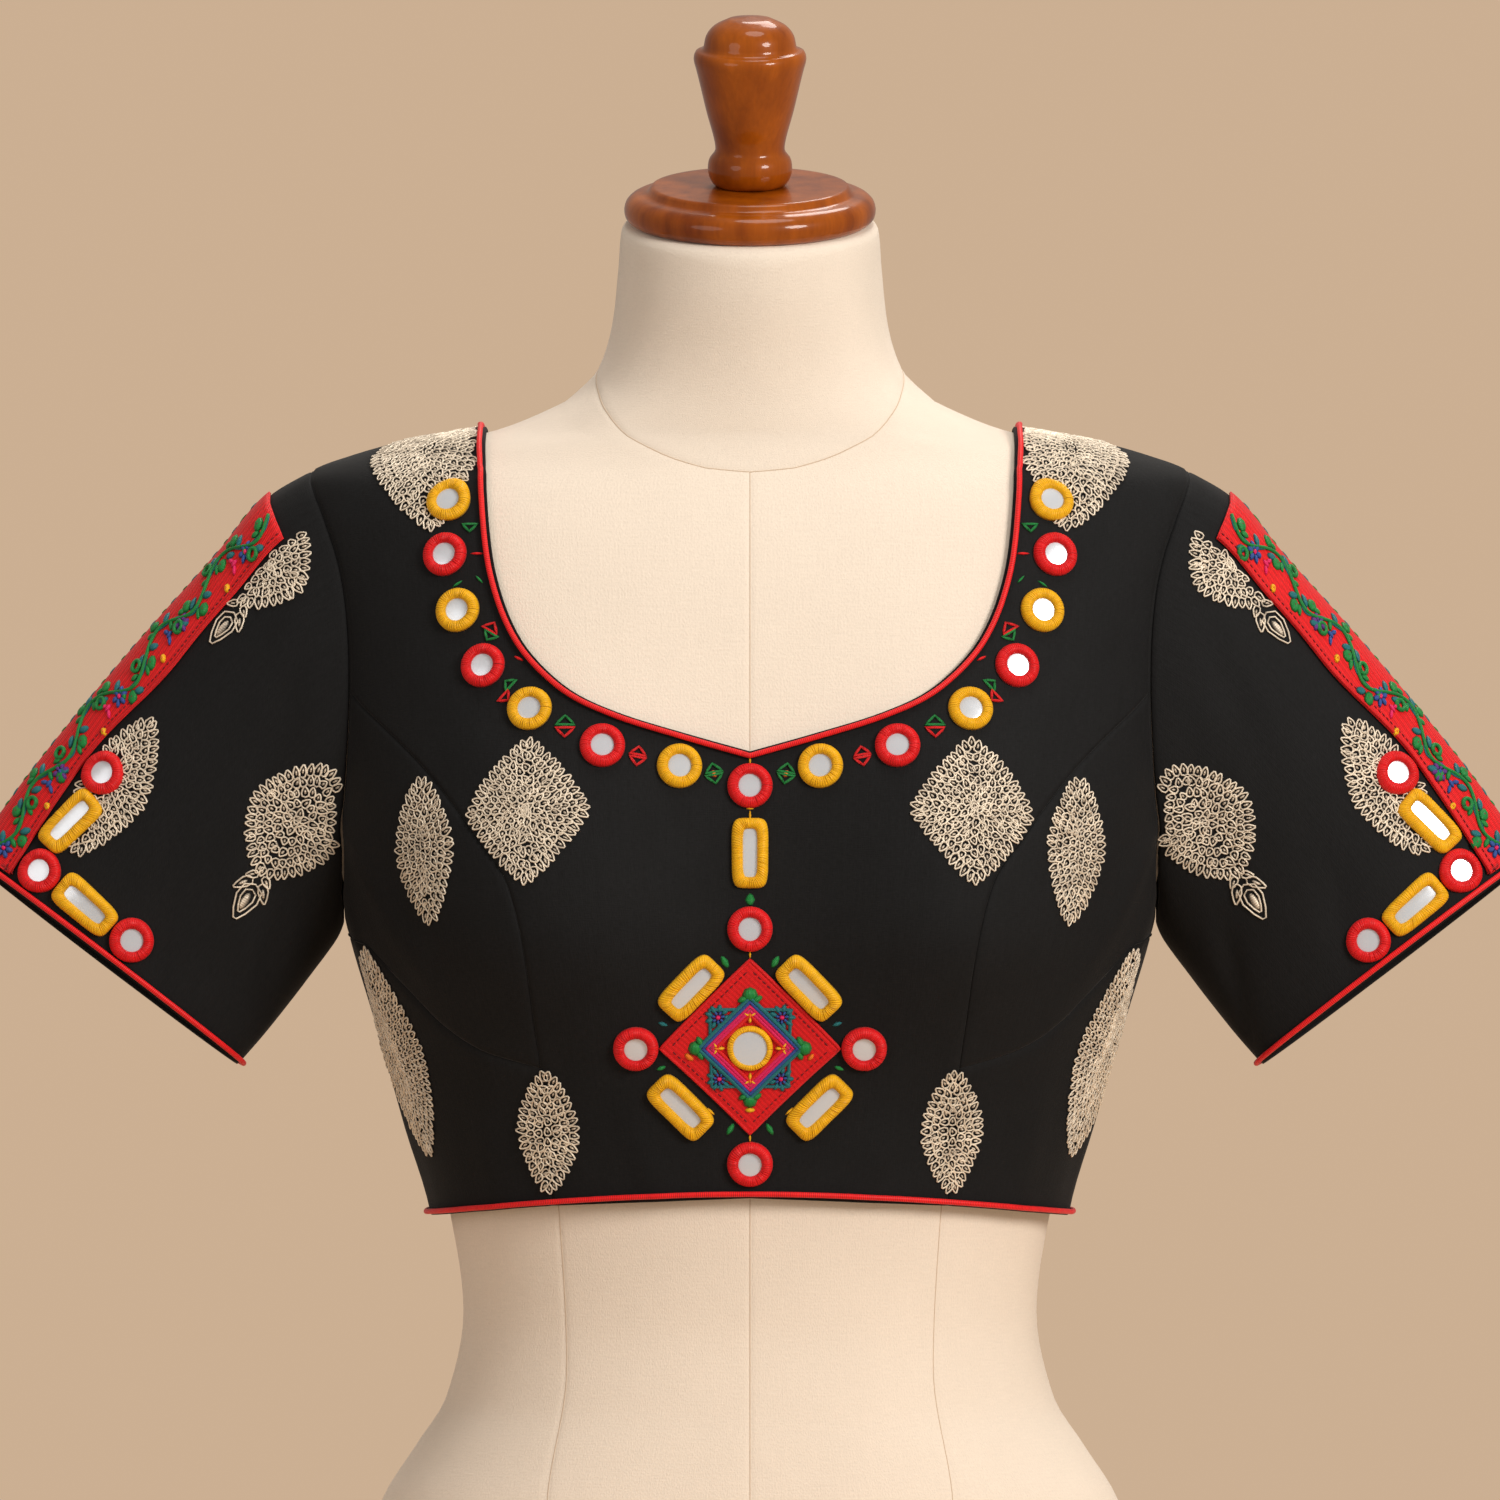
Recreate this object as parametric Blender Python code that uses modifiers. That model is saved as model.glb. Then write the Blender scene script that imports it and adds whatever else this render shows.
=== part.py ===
"""A choli blouse on the limbless dress form that it rests on.

The blouse is princess-seamed: a front centre panel, cup and under-bust panels, two back
panels and set-in sleeves, with piping, embroidered bands and padded mirror rings.
Every cloth piece is a wall worked out from the form's own sections, moved outwards.

Frame: metres, +Z up, the front faces -Y, the origin is the centre of the form's flat base.
Sizes in the tables below are in millimetres. "Left" is the wearer's left, at +X.
"""

import math

import bpy
import numpy as np

MM = 0.001

# ---------------------------------------------------------------- driving sizes, in mm
WALL = 1.5                # thickness of the blouse cloth
SEAM_GAP = 0.25           # how far each panel stays back from a seam line
SEAT = 0.45               # clearance under anything sewn onto a panel
EASE_CLOSE = 1.1          # between form and cloth where the blouse fits closely
EASE_SIDE = 6.5           # extra ease at the hem, at the sides
EASE_FRONT = 6.0          # extra ease at the hem, at the front
EASE_BACK = 5.0           # extra ease at the hem, at the back
EASE_TOP = 345.0          # height where the blouse starts to stand away from the form
EASE_FULL = 193.26        # height below which the extra ease is full
EASE_BLADES = 1.3         # extra ease over the whole back
BLADES_BY = 0.35          # cosine of the turn past which that ease is full

HEM_HEIGHT = 232.6        # hem at the side seams and the back
HEM_RISE = 9.3            # how much higher the hem is at the front centre
SHOULDER_NECK = 110.0     # half width between the two ends of the shoulder seams at the neck
UNDERARM_HEIGHT = 355.7

CUP_FULLNESS = 22.0       # how far a cup stands out of the chest
CUP_APART = 92.0          # centre line to the fullest point
CUP_HEIGHT = 350.0
CUP_WIDE, CUP_ABOVE, CUP_BELOW = 40.0, 58.0, 34.0

NECK_TILT = math.radians(14.0)     # the neck's top face leans forward
NECK_TILT_FROM, NECK_TILT_TO = 585.0, 645.0
NECK_TOP = 646.8
NECK_LEAN = -6.5

ARMHOLE_CENTRE, ARMHOLE_HALF_HEIGHT, ARMHOLE_HALF_DEPTH = 448.4, 92.6, 46.0
ARMHOLE_SQUARE = 2.3

PIPING_RADIUS = 1.15
PIPING_INSET = 2.1        # from the cloth's edge to the middle of the piping
PIPING_SEAT = 0.75        # clearance under the piping, which turns sharp edges

BAND_HALF_WIDTH = 28.5
BAND_WALL = 1.0
BAND_FROM_SHOULDER = 0.09 # where the band starts, as a share of the sleeve's length
BAND_FROM_CUFF = 4.6      # clear strip between the band and the cuff's edge
BAND_SEAT = 0.7           # more than SEAT, because the band turns the sleeve's tight outer edge

CUFF_FORWARD = -12.0      # how far the cuff's middle points forward
CUFF_SKEW = 2.6           # how much further the cuff's back edge reaches than its front edge

RING_RADIUS = 9.5
BAR_HALF_LENGTH, BAR_HALF_WIDTH = 14.7, 7.7
DIAMOND_HALF = 37.0       # half the diagonal of the diamond patch
DIAMOND_WALL = 1.0

# The form's level sections, from the base to the top of the neck.
FORM_SECTIONS = (
    # height, half width, front depth, back depth, squareness, lean
    (0.0, 170.0, 103.0, 116.0, 2.30, 0.0),
    (4.0, 172.0, 105.0, 118.0, 2.30, 0.0),
    (60.0, 169.0, 102.5, 116.5, 2.30, 0.0),
    (111.0, 154.6, 97.0, 108.0, 2.30, 0.0),
    (134.0, 140.3, 93.0, 99.0, 2.25, 0.0),
    (155.0, 127.3, 89.0, 90.0, 2.20, 0.0),
    (190.0, 120.3, 85.0, 82.0, 2.20, 0.0),
    (232.0, 126.0, 86.0, 80.0, 2.20, 0.0),
    (271.0, 139.3, 91.0, 82.0, 2.25, 0.0),
    (311.0, 153.6, 97.0, 87.0, 2.30, 0.0),
    (355.0, 167.2, 101.0, 94.0, 2.40, 0.0),
    (400.0, 175.0, 98.0, 100.0, 2.50, 0.0),
    (450.0, 178.5, 89.0, 102.0, 2.55, 0.0),
    (490.0, 183.0, 79.0, 98.0, 2.55, 0.0),
    (515.0, 186.5, 70.0, 90.0, 2.55, 0.0),
    (530.0, 188.3, 63.0, 82.0, 2.40, 0.0),
    (537.0, 186.8, 59.5, 77.0, 2.25, 0.0),
    (541.0, 182.5, 57.0, 74.0, 2.10, 0.0),
    (546.8, 167.6, 54.5, 70.0, 1.95, 0.0),
    (552.6, 146.8, 52.5, 66.0, 1.90, 0.0),
    (556.7, 123.8, 51.3, 63.5, 1.90, 0.0),
    (558.9, 111.5, 51.0, 62.0, 1.90, 0.0),
    (568.7, 85.0, 51.0, 59.0, 1.95, 0.0),
    (577.0, 70.5, 51.0, 57.0, 2.00, -0.5),
    (591.0, 61.5, 51.5, 54.5, 2.00, -2.0),
    (607.0, 57.4, 52.5, 53.5, 2.00, -3.8),
    (628.0, 55.2, 53.4, 53.4, 2.00, -5.5),
    (644.5, 53.7, 53.5, 53.5, 2.00, NECK_LEAN),
    (NECK_TOP, 51.8, 51.6, 51.6, 2.00, NECK_LEAN),
)

# The front neckline, from the V at the centre up to the shoulder seam.
FRONT_NECKLINE = (
    # half width, height
    (0.0, 424.8),
    (25.5, 431.8),
    (53.3, 440.2),
    (70.8, 448.0),
    (82.2, 456.8),
    (93.7, 470.3),
    (101.5, 487.0),
    (106.2, 505.2),
    (108.6, 526.0),
    (109.7, 544.0),
    (SHOULDER_NECK, 552.0),
)

# The back neckline, a plain round scoop, from the centre back up to the shoulder seam.
BACK_NECKLINE = (
    # half width, height
    (0.0, 470.0),
    (36.0, 473.0),
    (66.0, 483.0),
    (88.0, 500.0),
    (101.0, 520.0),
    (107.5, 538.0),
    (SHOULDER_NECK, 551.0),
)

# The princess seam, from the hem up to the armhole.
PRINCESS_SEAM = (
    # from the centre line, height
    (78.0, HEM_HEIGHT),
    (85.1, 295.2),
    (88.0, 313.7),
    (92.9, 346.6),
    (99.9, 372.5),
    (111.8, 389.7),
    (131.9, 416.0),
    (165.5, 449.8),
)

# The under-bust seam, from the princess seam round to the side seam.
UNDER_BUST_SEAM = (
    # from the centre line, height
    (85.3, 296.0),
    (107.7, 302.6),
    (126.0, 313.7),
    (139.6, 327.1),
    (157.0, 345.0),
)
UNDER_BUST_SIDE = 349.5   # where that seam meets the side seam

# The sleeve's upper and lower lines, seen from the front, from shoulder point to cuff.
SLEEVE_SECTIONS = (
    # share, top x, top z, bottom x, bottom z, half depth, squareness
    (0.000, 184.0, 542.0, 171.2, 355.7, 46.0, 2.30),
    (0.094, 201.6, 531.7, 173.4, 349.0, 45.5, 2.25),
    (0.238, 221.8, 508.2, 178.4, 340.0, 43.5, 2.20),
    (0.424, 248.6, 478.4, 186.5, 328.7, 40.5, 2.15),
    (0.614, 275.1, 447.3, 195.0, 317.6, 37.0, 2.10),
    (0.814, 302.0, 413.7, 204.2, 306.1, 33.0, 2.05),
    (1.000, 326.3, 379.3, 214.6, 294.1, 30.0, 2.00),
)
SLEEVE_BLEND = 0.35       # share of the sleeve over which the armhole's shape fades out

# Soft creases of each sleeve, as shallow troughs that slant from the underarm.
SLEEVE_CREASES = (
    # round (degrees from the outer line), share, half width round, half length, depth
    (112.0, 0.30, 9.0, 0.22, 1.6),
    (138.0, 0.55, 8.0, 0.20, 1.8),
    (96.0, 0.80, 8.0, 0.16, 1.2),
    (-118.0, 0.34, 9.0, 0.24, 1.6),
    (-140.0, 0.62, 8.0, 0.20, 1.8),
    (-92.0, 0.82, 8.0, 0.15, 1.2),
)

# Padded mirrors round the neckline, one side; the first is on the centre line.
NECK_MIRRORS = (
    # from the centre line, height, colour
    (0.0, 410.7, "red"),
    (29.2, 418.7, "yellow"),
    (60.8, 426.9, "red"),
    (90.4, 442.1, "yellow"),
    (109.6, 460.1, "red"),
    (120.3, 483.1, "yellow"),
    (125.9, 506.2, "red"),
    (124.8, 528.2, "yellow"),
)

# Padded mirrors of the centre front, below the neckline.
FRONT_RINGS = (
    # name, x, height
    ("mirror_ring_upper", 0.0, 352.3),
    ("mirror_ring_lower", 0.0, 256.2),
    ("mirror_ring_side_left", 46.9, 304.2),
    ("mirror_ring_side_right", -46.9, 304.2),
)
FRONT_BARS = (
    # name, x, height, slope of its long side in degrees
    ("mirror_bar_top", 0.0, 383.2, 90.0),
    ("mirror_bar_upper_left", 24.6, 328.6, -46.0),
    ("mirror_bar_upper_right", -24.6, 328.6, 46.0),
    ("mirror_bar_lower_left", 28.2, 279.8, 46.0),
    ("mirror_bar_lower_right", -28.2, 279.8, -46.0),
)
DIAMOND_HEIGHT = 304.2

# The mirror chain of a sleeve's front: it runs down beside the band and then along the cuff.
CHAIN = (
    # name, kind, round from the outer line, up from the cuff, long side along the sleeve
    ("ring_upper", "ring", 38.5, 62.4, True),
    ("bar_upper", "bar", 38.5, 37.7, True),
    ("ring_corner", "ring", 38.5, 13.1, True),
    ("bar_lower", "bar", 63.2, 13.1, False),
    ("ring_lower", "ring", 88.3, 13.1, False),
)

# A padded mirror's section: a stitched ring round a flat mirror.
MIRROR_SECTION = (
    # in from the outline, height
    (0.7, 0.0),
    (0.0, 1.3),
    (2.3, 3.0),
    (4.7, 1.1),
)

NECK_PLATE_PROFILE = (
    # radius, height above the neck's top face
    (49.0, 0.0), (52.2, 2.4), (52.9, 6.0), (51.6, 9.6), (48.0, 12.0), (43.6, 12.7),
    (42.4, 13.3), (42.2, 15.2), (41.2, 15.8),
)
FINIAL_PROFILE = (
    # radius, height above the plate's top face
    (14.6, 0.0), (16.8, 3.0), (17.8, 7.6), (16.9, 12.2), (14.4, 14.8), (18.6, 33.0),
    (22.9, 51.0), (23.8, 54.2), (22.6, 57.4), (19.8, 58.0), (18.7, 63.2), (15.4, 67.6),
    (9.0, 70.9),
)
FINIAL_TOP = 72.0
TURNED_SIDES = 18

# ---------------------------------------------------------------- colours
CLOTH_BLACK = ((0.010, 0.010, 0.012), 0.78, 0.0)
CANVAS = ((0.80, 0.68, 0.54), 0.85, 0.0)
WOOD = ((0.33, 0.095, 0.018), 0.28, 0.0)
THREAD_RED = ((0.55, 0.010, 0.016), 0.55, 0.0)
THREAD_YELLOW = ((0.86, 0.36, 0.010), 0.50, 0.0)

# ---------------------------------------------------------------- smooth tables


def smooth(at, knots, values):
    """A monotone cubic through a table's rows, so it never overshoots between two rows."""
    step = np.diff(knots)
    rise = np.diff(values) / step
    slope = np.zeros(len(knots))
    before, after = rise[:-1], rise[1:]
    turns = before * after <= 0
    safe_before, safe_after = np.where(turns, 1, before), np.where(turns, 1, after)
    heavy, light = 2 * step[1:] + step[:-1], step[1:] + 2 * step[:-1]
    slope[1:-1] = np.where(turns, 0, (heavy + light) / (heavy / safe_before + light / safe_after))
    slope[0], slope[-1] = rise[0], rise[-1]
    row = np.clip(np.searchsorted(knots, at, side="right") - 1, 0, len(step) - 1)
    u = (at - knots[row]) / step[row]
    return ((2 * u + 1) * (1 - u) ** 2 * values[row] + u * (1 - u) ** 2 * step[row] * slope[row]
            + u * u * (3 - 2 * u) * values[row + 1] + u * u * (u - 1) * step[row] * slope[row + 1])


def ramp(value, low, high):
    """0 below low, 1 above high, and an S-curve between them."""
    u = np.clip((value - low) / (high - low), 0, 1)
    return u * u * (3 - 2 * u)


def lengths(points):
    """How far along a line of points each one is."""
    return np.concatenate([[0], np.cumsum(np.linalg.norm(np.diff(points, axis=0), axis=1))])


HEIGHTS, HALF_WIDTHS, FRONTS, BACKS, SQUARES, LEANS = np.array(FORM_SECTIONS).T
# "Run" is the way up the form's side outline from the base, so it keeps counting over the shoulder.
RUNS = lengths(np.column_stack([HALF_WIDTHS, HEIGHTS]))
FINE_RUNS = np.linspace(0, RUNS[-1], 4000)
FINE_HEIGHTS = smooth(FINE_RUNS, RUNS, HEIGHTS)


def run_at(height):
    return np.interp(height, FINE_HEIGHTS, FINE_RUNS)


# ---------------------------------------------------------------- the form's surface


def form_point(turn, run):
    """A point of the form. Turn is 0 at the front centre, a quarter turn at the left side.

    Each level section is a superellipse read by its angle; two soft bulges are the cups, and the
    top of the neck is sheared so that its end face leans forward.
    """
    turn, run = np.broadcast_arrays(np.asarray(turn, float), np.asarray(run, float))
    height = smooth(run, RUNS, HEIGHTS)
    half_width = smooth(run, RUNS, HALF_WIDTHS)
    square = smooth(run, RUNS, SQUARES)
    lean = smooth(run, RUNS, LEANS)
    sine, cosine = np.sin(turn), np.cos(turn)
    size = (np.abs(sine) ** square + np.abs(cosine) ** square) ** (1 / square)
    across, along = sine / size, cosine / size
    depth = np.where(cosine >= 0, smooth(run, RUNS, FRONTS), smooth(run, RUNS, BACKS))
    x = half_width * across
    spread = np.where(height > CUP_HEIGHT, CUP_ABOVE, CUP_BELOW)
    cup = np.exp(-((x - CUP_APART) / CUP_WIDE) ** 2 / 2) + np.exp(-((x + CUP_APART) / CUP_WIDE) ** 2 / 2)
    cup *= CUP_FULLNESS * np.exp(-((height - CUP_HEIGHT) / spread) ** 2 / 2)
    y = lean - depth * along - cup * np.sqrt(np.clip(along, 0, 1))
    tilt = ramp(height, NECK_TILT_FROM, NECK_TILT_TO) * math.tan(NECK_TILT)
    return np.stack([x, y, height + (y - lean) * tilt], axis=-1)


def normal_of(surface, a, b, step_a, step_b):
    """The outward unit normal of a surface, from its two slopes."""
    along_a = surface(a + step_a, b) - surface(a - step_a, b)
    along_b = surface(a, b + step_b) - surface(a, b - step_b)
    normal = np.cross(along_a, along_b)
    return normal / np.linalg.norm(normal, axis=-1, keepdims=True)


def cloth_point(turn, run, out=0.0):
    """A point of the blouse's body: the form's point moved out by the ease, and by out."""
    turn, run = np.broadcast_arrays(np.asarray(turn, float), np.asarray(run, float))
    height = smooth(run, RUNS, HEIGHTS)
    hang = 1 - ramp(height, EASE_FULL, EASE_TOP)
    side = np.sin(turn) ** 2
    level = np.where(np.cos(turn) >= 0, EASE_FRONT, EASE_BACK)
    ease = EASE_CLOSE + hang * (side * EASE_SIDE + (1 - side) * level)
    ease = ease + EASE_BLADES * ramp(-np.cos(turn), 0.0, BLADES_BY)
    normal = normal_of(form_point, turn, run, 0.002, 0.2)
    return form_point(turn, run) + normal * (ease + out)[..., None]


def section_at(run):
    return (smooth(run, RUNS, HALF_WIDTHS), smooth(run, RUNS, FRONTS), smooth(run, RUNS, BACKS),
            smooth(run, RUNS, SQUARES))


def turn_at_x(x, run, back=False):
    """The turn where the section at run is x from the centre line."""
    half_width, _, _, square = section_at(run)
    across = np.clip(np.abs(x) / half_width, 0, 1)
    turn = np.arctan2(across, (1 - across ** square) ** (1 / square))
    return np.where(back, math.pi - turn, turn)


def turn_at_y(y, run):
    """The turn where the left side of the section at run is at y."""
    _, front, back, square = section_at(run)
    along = np.clip(np.abs(y) / np.where(y < 0, front, back), 0, 1)
    turn = np.arctan2((1 - along ** square) ** (1 / square), along)
    return np.where(y < 0, turn, math.pi - turn)


def hem_run(turn):
    return run_at(HEM_HEIGHT + HEM_RISE * np.clip(np.cos(turn), 0, 1) ** 2)


# ---------------------------------------------------------------- seam lines, as (turn, run) rows


def even(line, count):
    """A line of (turn, run) rows read at count places, evenly spaced over the cloth."""
    length = lengths(cloth_point(line[:, 0], line[:, 1]))
    at = np.linspace(0, length[-1], count)
    return np.column_stack([smooth(at, length, line[:, 0]), smooth(at, length, line[:, 1])])


def join(*lines):
    """Lines end to end, each starting where the one before it stopped."""
    return np.concatenate([lines[0]] + [line[1:] for line in lines[1:]])


def line_from(table, back=False):
    x, height = np.array(table, float).T
    run = run_at(height)
    return np.column_stack([turn_at_x(x, run, back), run])


def armhole(round_by):
    """The armhole's line: 0 at the shoulder point, positive round the front, pi at the underarm."""
    sine, cosine = np.sin(round_by), np.cos(round_by)
    size = (np.abs(sine) ** ARMHOLE_SQUARE + np.abs(cosine) ** ARMHOLE_SQUARE) ** (1 / ARMHOLE_SQUARE)
    run = run_at(ARMHOLE_CENTRE + ARMHOLE_HALF_HEIGHT * cosine / size)
    return np.column_stack([turn_at_y(-ARMHOLE_HALF_DEPTH * sine / size, run), run])


RIDGE_AT_NECK = np.interp(-SHOULDER_NECK, -smooth(FINE_RUNS[FINE_HEIGHTS > 541], RUNS, HALF_WIDTHS),
                          FINE_RUNS[FINE_HEIGHTS > 541])


def neck_line(table, back=False):
    """A neckline's table, carried straight on over the shoulder's roundness to the seam on top."""
    line = line_from(table, back)
    run = np.linspace(line[-1, 1], RIDGE_AT_NECK, 9)[1:]
    return np.concatenate([line, np.column_stack([turn_at_x(SHOULDER_NECK, run, back), run])])


FRONT_NECK_LINE = neck_line(FRONT_NECKLINE)
BACK_NECK_LINE = neck_line(BACK_NECKLINE, back=True)
PRINCESS_LINE = line_from(PRINCESS_SEAM)
PRINCESS_LINE[0, 1] = hem_run(PRINCESS_LINE[0, 0])
# The armhole's place where the princess seam meets it.
UPPER_ROUND = np.linspace(0, math.pi / 2, 91)
MEETING = UPPER_ROUND[np.argmin(np.abs(armhole(UPPER_ROUND)[:, 1] - PRINCESS_LINE[-1, 1]))]
PRINCESS_LINE[-1] = armhole(np.array([MEETING]))[0]
UNDER_BUST_LINE = np.concatenate([line_from(UNDER_BUST_SEAM),
                                  [[math.pi / 2, run_at(UNDER_BUST_SIDE)]]])
# The under-bust seam starts on the princess seam.
UNDER_BUST_LINE[0, 0] = np.interp(UNDER_BUST_LINE[0, 1], PRINCESS_LINE[:, 1], PRINCESS_LINE[:, 0])


def part_of(line, start_run, end_run):
    """The stretch of a rising line between two runs."""
    inside = line[(line[:, 1] > start_run + 1) & (line[:, 1] < end_run - 1)]
    ends = [[np.interp(run, line[:, 1], line[:, 0]), run] for run in (start_run, end_run)]
    return np.concatenate([[ends[0]], inside, [ends[1]]])


def armhole_part(start, end, count):
    return armhole(np.linspace(start, end, count))


def side_seam(start_run, end_run):
    run = np.linspace(start_run, end_run, 12)
    return np.column_stack([np.full(12, math.pi / 2), run])


# ---------------------------------------------------------------- making objects

collection = None


def start_scene(name):
    global collection
    for old in list(bpy.data.objects):
        bpy.data.objects.remove(old)
    collection = bpy.data.collections.new(name)
    bpy.context.scene.collection.children.link(collection)


def material_for(name, look):
    colour, roughness, metallic = look
    material = bpy.data.materials.new(name)
    material.use_nodes = True
    shader = material.node_tree.nodes["Principled BSDF"]
    shader.inputs["Base Color"].default_value = (*colour, 1.0)
    shader.inputs["Roughness"].default_value = roughness
    shader.inputs["Metallic"].default_value = metallic
    material.diffuse_color = (*colour, 1.0)
    return material


def add_mesh(name, points, faces, look):
    """A new object from points in millimetres."""
    mesh = bpy.data.meshes.new(name)
    mesh.from_pydata((np.asarray(points) * MM).tolist(), [], faces)
    mesh.validate()
    mesh.materials.append(material_for(name, look))
    piece = bpy.data.objects.new(name, mesh)
    collection.objects.link(piece)
    return piece


def grid_faces(rows, columns, closed=False, flip=False):
    """Quads of a grid of points, row by row; closed joins the last column to the first."""
    faces = []
    for row in range(rows - 1):
        for column in range(columns if closed else columns - 1):
            after = (column + 1) % columns
            quad = (row * columns + column, row * columns + after,
                    (row + 1) * columns + after, (row + 1) * columns + column)
            faces.append(quad[::-1] if flip else quad)
    return faces


def tuck(grid, sides):
    """Moves a grid's named borders in by the seam gap, each towards the next line of points."""
    grid = grid.copy()
    for border, inner in sides:
        step = grid[inner] - grid[border]
        size = np.linalg.norm(step, axis=-1, keepdims=True)
        grid[border] += step / np.maximum(size, 1e-6) * SEAM_GAP * (size > 1e-6)
    return grid


ROW_FIRST, ROW_LAST = (np.s_[0, :], np.s_[1, :]), (np.s_[-1, :], np.s_[-2, :])
COLUMN_FIRST, COLUMN_LAST = (np.s_[:, 0], np.s_[:, 1]), (np.s_[:, -1], np.s_[:, -2])


def add_wall(name, grid, look, thickness=WALL, outward=True, right=False, mirrored=False, closed=False):
    """A cloth wall on a grid of points: its inner face, or its outer one if not outward."""
    rows, columns = grid.shape[:2]
    points = grid.reshape(-1, 3) * ((-1, 1, 1) if right else (1, 1, 1))
    piece = add_mesh(name, points, grid_faces(rows, columns, closed, flip=right), look)
    weld = piece.modifiers.new("weld", "WELD")
    weld.merge_threshold = 0.00002
    if mirrored:
        mirror = piece.modifiers.new("mirror", "MIRROR")
        mirror.merge_threshold = 0.0001
    wall = piece.modifiers.new("wall", "SOLIDIFY")
    wall.thickness = thickness * MM
    wall.offset = 1.0 if outward else -1.0
    return piece


def between(inner, outer, columns):
    """A grid of (turn, run) pairs: straight rows between two lines of as many points."""
    share = np.linspace(0, 1, columns)[None, :, None]
    return inner[:, None] * (1 - share) + outer[:, None] * share


# ---------------------------------------------------------------- the body's panels


FRONT_COLUMNS, CUP_COLUMNS, BACK_COLUMNS = 10, 9, 12
V_ROW = 10                # the front grid's row that ends at the neckline's V
BACK_NECK_ROW = 11        # the back grid's row that ends at the neckline's lowest point


def princess_below():
    """The princess seam from the hem to the under-bust seam."""
    return even(part_of(PRINCESS_LINE, PRINCESS_LINE[0, 1], UNDER_BUST_LINE[0, 1]), 5)


def princess_above():
    """The princess seam from the under-bust seam to the armhole."""
    return even(part_of(PRINCESS_LINE, UNDER_BUST_LINE[0, 1], PRINCESS_LINE[-1, 1]), 11)


def front_grid():
    """The left half of the front centre panel, from hem to shoulder."""
    centre = np.column_stack([np.zeros(2), [hem_run(0.0), run_at(FRONT_NECKLINE[0][1])]])
    inner = join(even(centre, V_ROW + 1), even(FRONT_NECK_LINE, 15))
    outer = join(princess_below(), princess_above(), armhole_part(MEETING, 0, 11))
    return between(inner, outer, FRONT_COLUMNS)


def add_front():
    lines = front_grid()
    grid = cloth_point(lines[..., 0], lines[..., 1])
    grid = tuck(grid, (ROW_LAST, COLUMN_LAST))
    grid[:V_ROW + 1, 0, 0] = 0.0
    add_wall("front_centre", grid, CLOTH_BLACK, mirrored=True)


def cup_grid():
    inner = princess_above()[::-1]
    armhole_run = armhole_part(MEETING, math.pi, 10)
    outer = join(armhole_run, side_seam(run_at(UNDERARM_HEIGHT), run_at(UNDER_BUST_SIDE))[[0, -1]])
    seam = even(UNDER_BUST_LINE, CUP_COLUMNS)
    grid = between(inner, outer, CUP_COLUMNS)
    # The last rows bend into the under-bust seam's own curve.
    bow = seam - between(inner[-1:], outer[-1:], CUP_COLUMNS)[0]
    share = (np.linspace(0, 1, len(inner)) ** 2)[:, None, None]
    return (grid + bow[None] * share)[::-1]


def under_bust_grid():
    top = even(UNDER_BUST_LINE, CUP_COLUMNS)
    bottom_turn = np.linspace(PRINCESS_LINE[0, 0], math.pi / 2, CUP_COLUMNS)
    bottom = np.column_stack([bottom_turn, hem_run(bottom_turn)])
    inner = princess_below()
    share = ((inner[:, 1] - inner[0, 1]) / (inner[-1, 1] - inner[0, 1]))[:, None]
    grid = bottom[None] * (1 - share[:, None]) + top[None] * share[:, None]
    # The first column follows the princess seam, and the others ease away from it.
    bow = inner - grid[:, 0]
    grid += bow[:, None] * (1 - np.linspace(0, 1, CUP_COLUMNS))[None, :, None]
    return grid


def add_side_fronts():
    cup = cup_grid()
    cup = tuck(cloth_point(cup[..., 0], cup[..., 1]), (ROW_FIRST, COLUMN_FIRST, COLUMN_LAST))
    under = under_bust_grid()
    under = tuck(cloth_point(under[..., 0], under[..., 1]), (ROW_LAST, COLUMN_FIRST, COLUMN_LAST))
    for side, right in (("left", False), ("right", True)):
        add_wall(f"cup_{side}", cup, CLOTH_BLACK, right=right)
        add_wall(f"under_bust_{side}", under, CLOTH_BLACK, right=right)


def back_grid():
    """The left back panel: columns run from the side seam and armhole to the centre back."""
    neck_run = run_at(BACK_NECKLINE[0][1])
    centre = np.column_stack([np.full(2, math.pi), [hem_run(math.pi), neck_run]])
    inner = join(even(centre, BACK_NECK_ROW + 1), even(BACK_NECK_LINE, 14))
    outer = join(even(side_seam(hem_run(math.pi / 2), run_at(UNDERARM_HEIGHT)), 7),
                 armhole_part(-math.pi, 0, 19))
    return between(outer, inner, BACK_COLUMNS)


def add_backs():
    lines = back_grid()
    grid = tuck(cloth_point(lines[..., 0], lines[..., 1]), (ROW_LAST, COLUMN_FIRST, COLUMN_LAST))
    for side, right in (("left", False), ("right", True)):
        add_wall(f"back_{side}", grid, CLOTH_BLACK, right=right)


# ---------------------------------------------------------------- the sleeves

SLEEVE = np.array(SLEEVE_SECTIONS).T


def armhole_at(round_by):
    """The armhole's edge on the outer face of the body, for any shape of round_by."""
    flat = np.ravel(round_by)
    folded = (flat + math.pi) % (2 * math.pi) - math.pi
    rows = armhole(folded)
    return cloth_point(rows[:, 0], rows[:, 1], WALL).reshape(*np.shape(round_by), 3)


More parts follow.
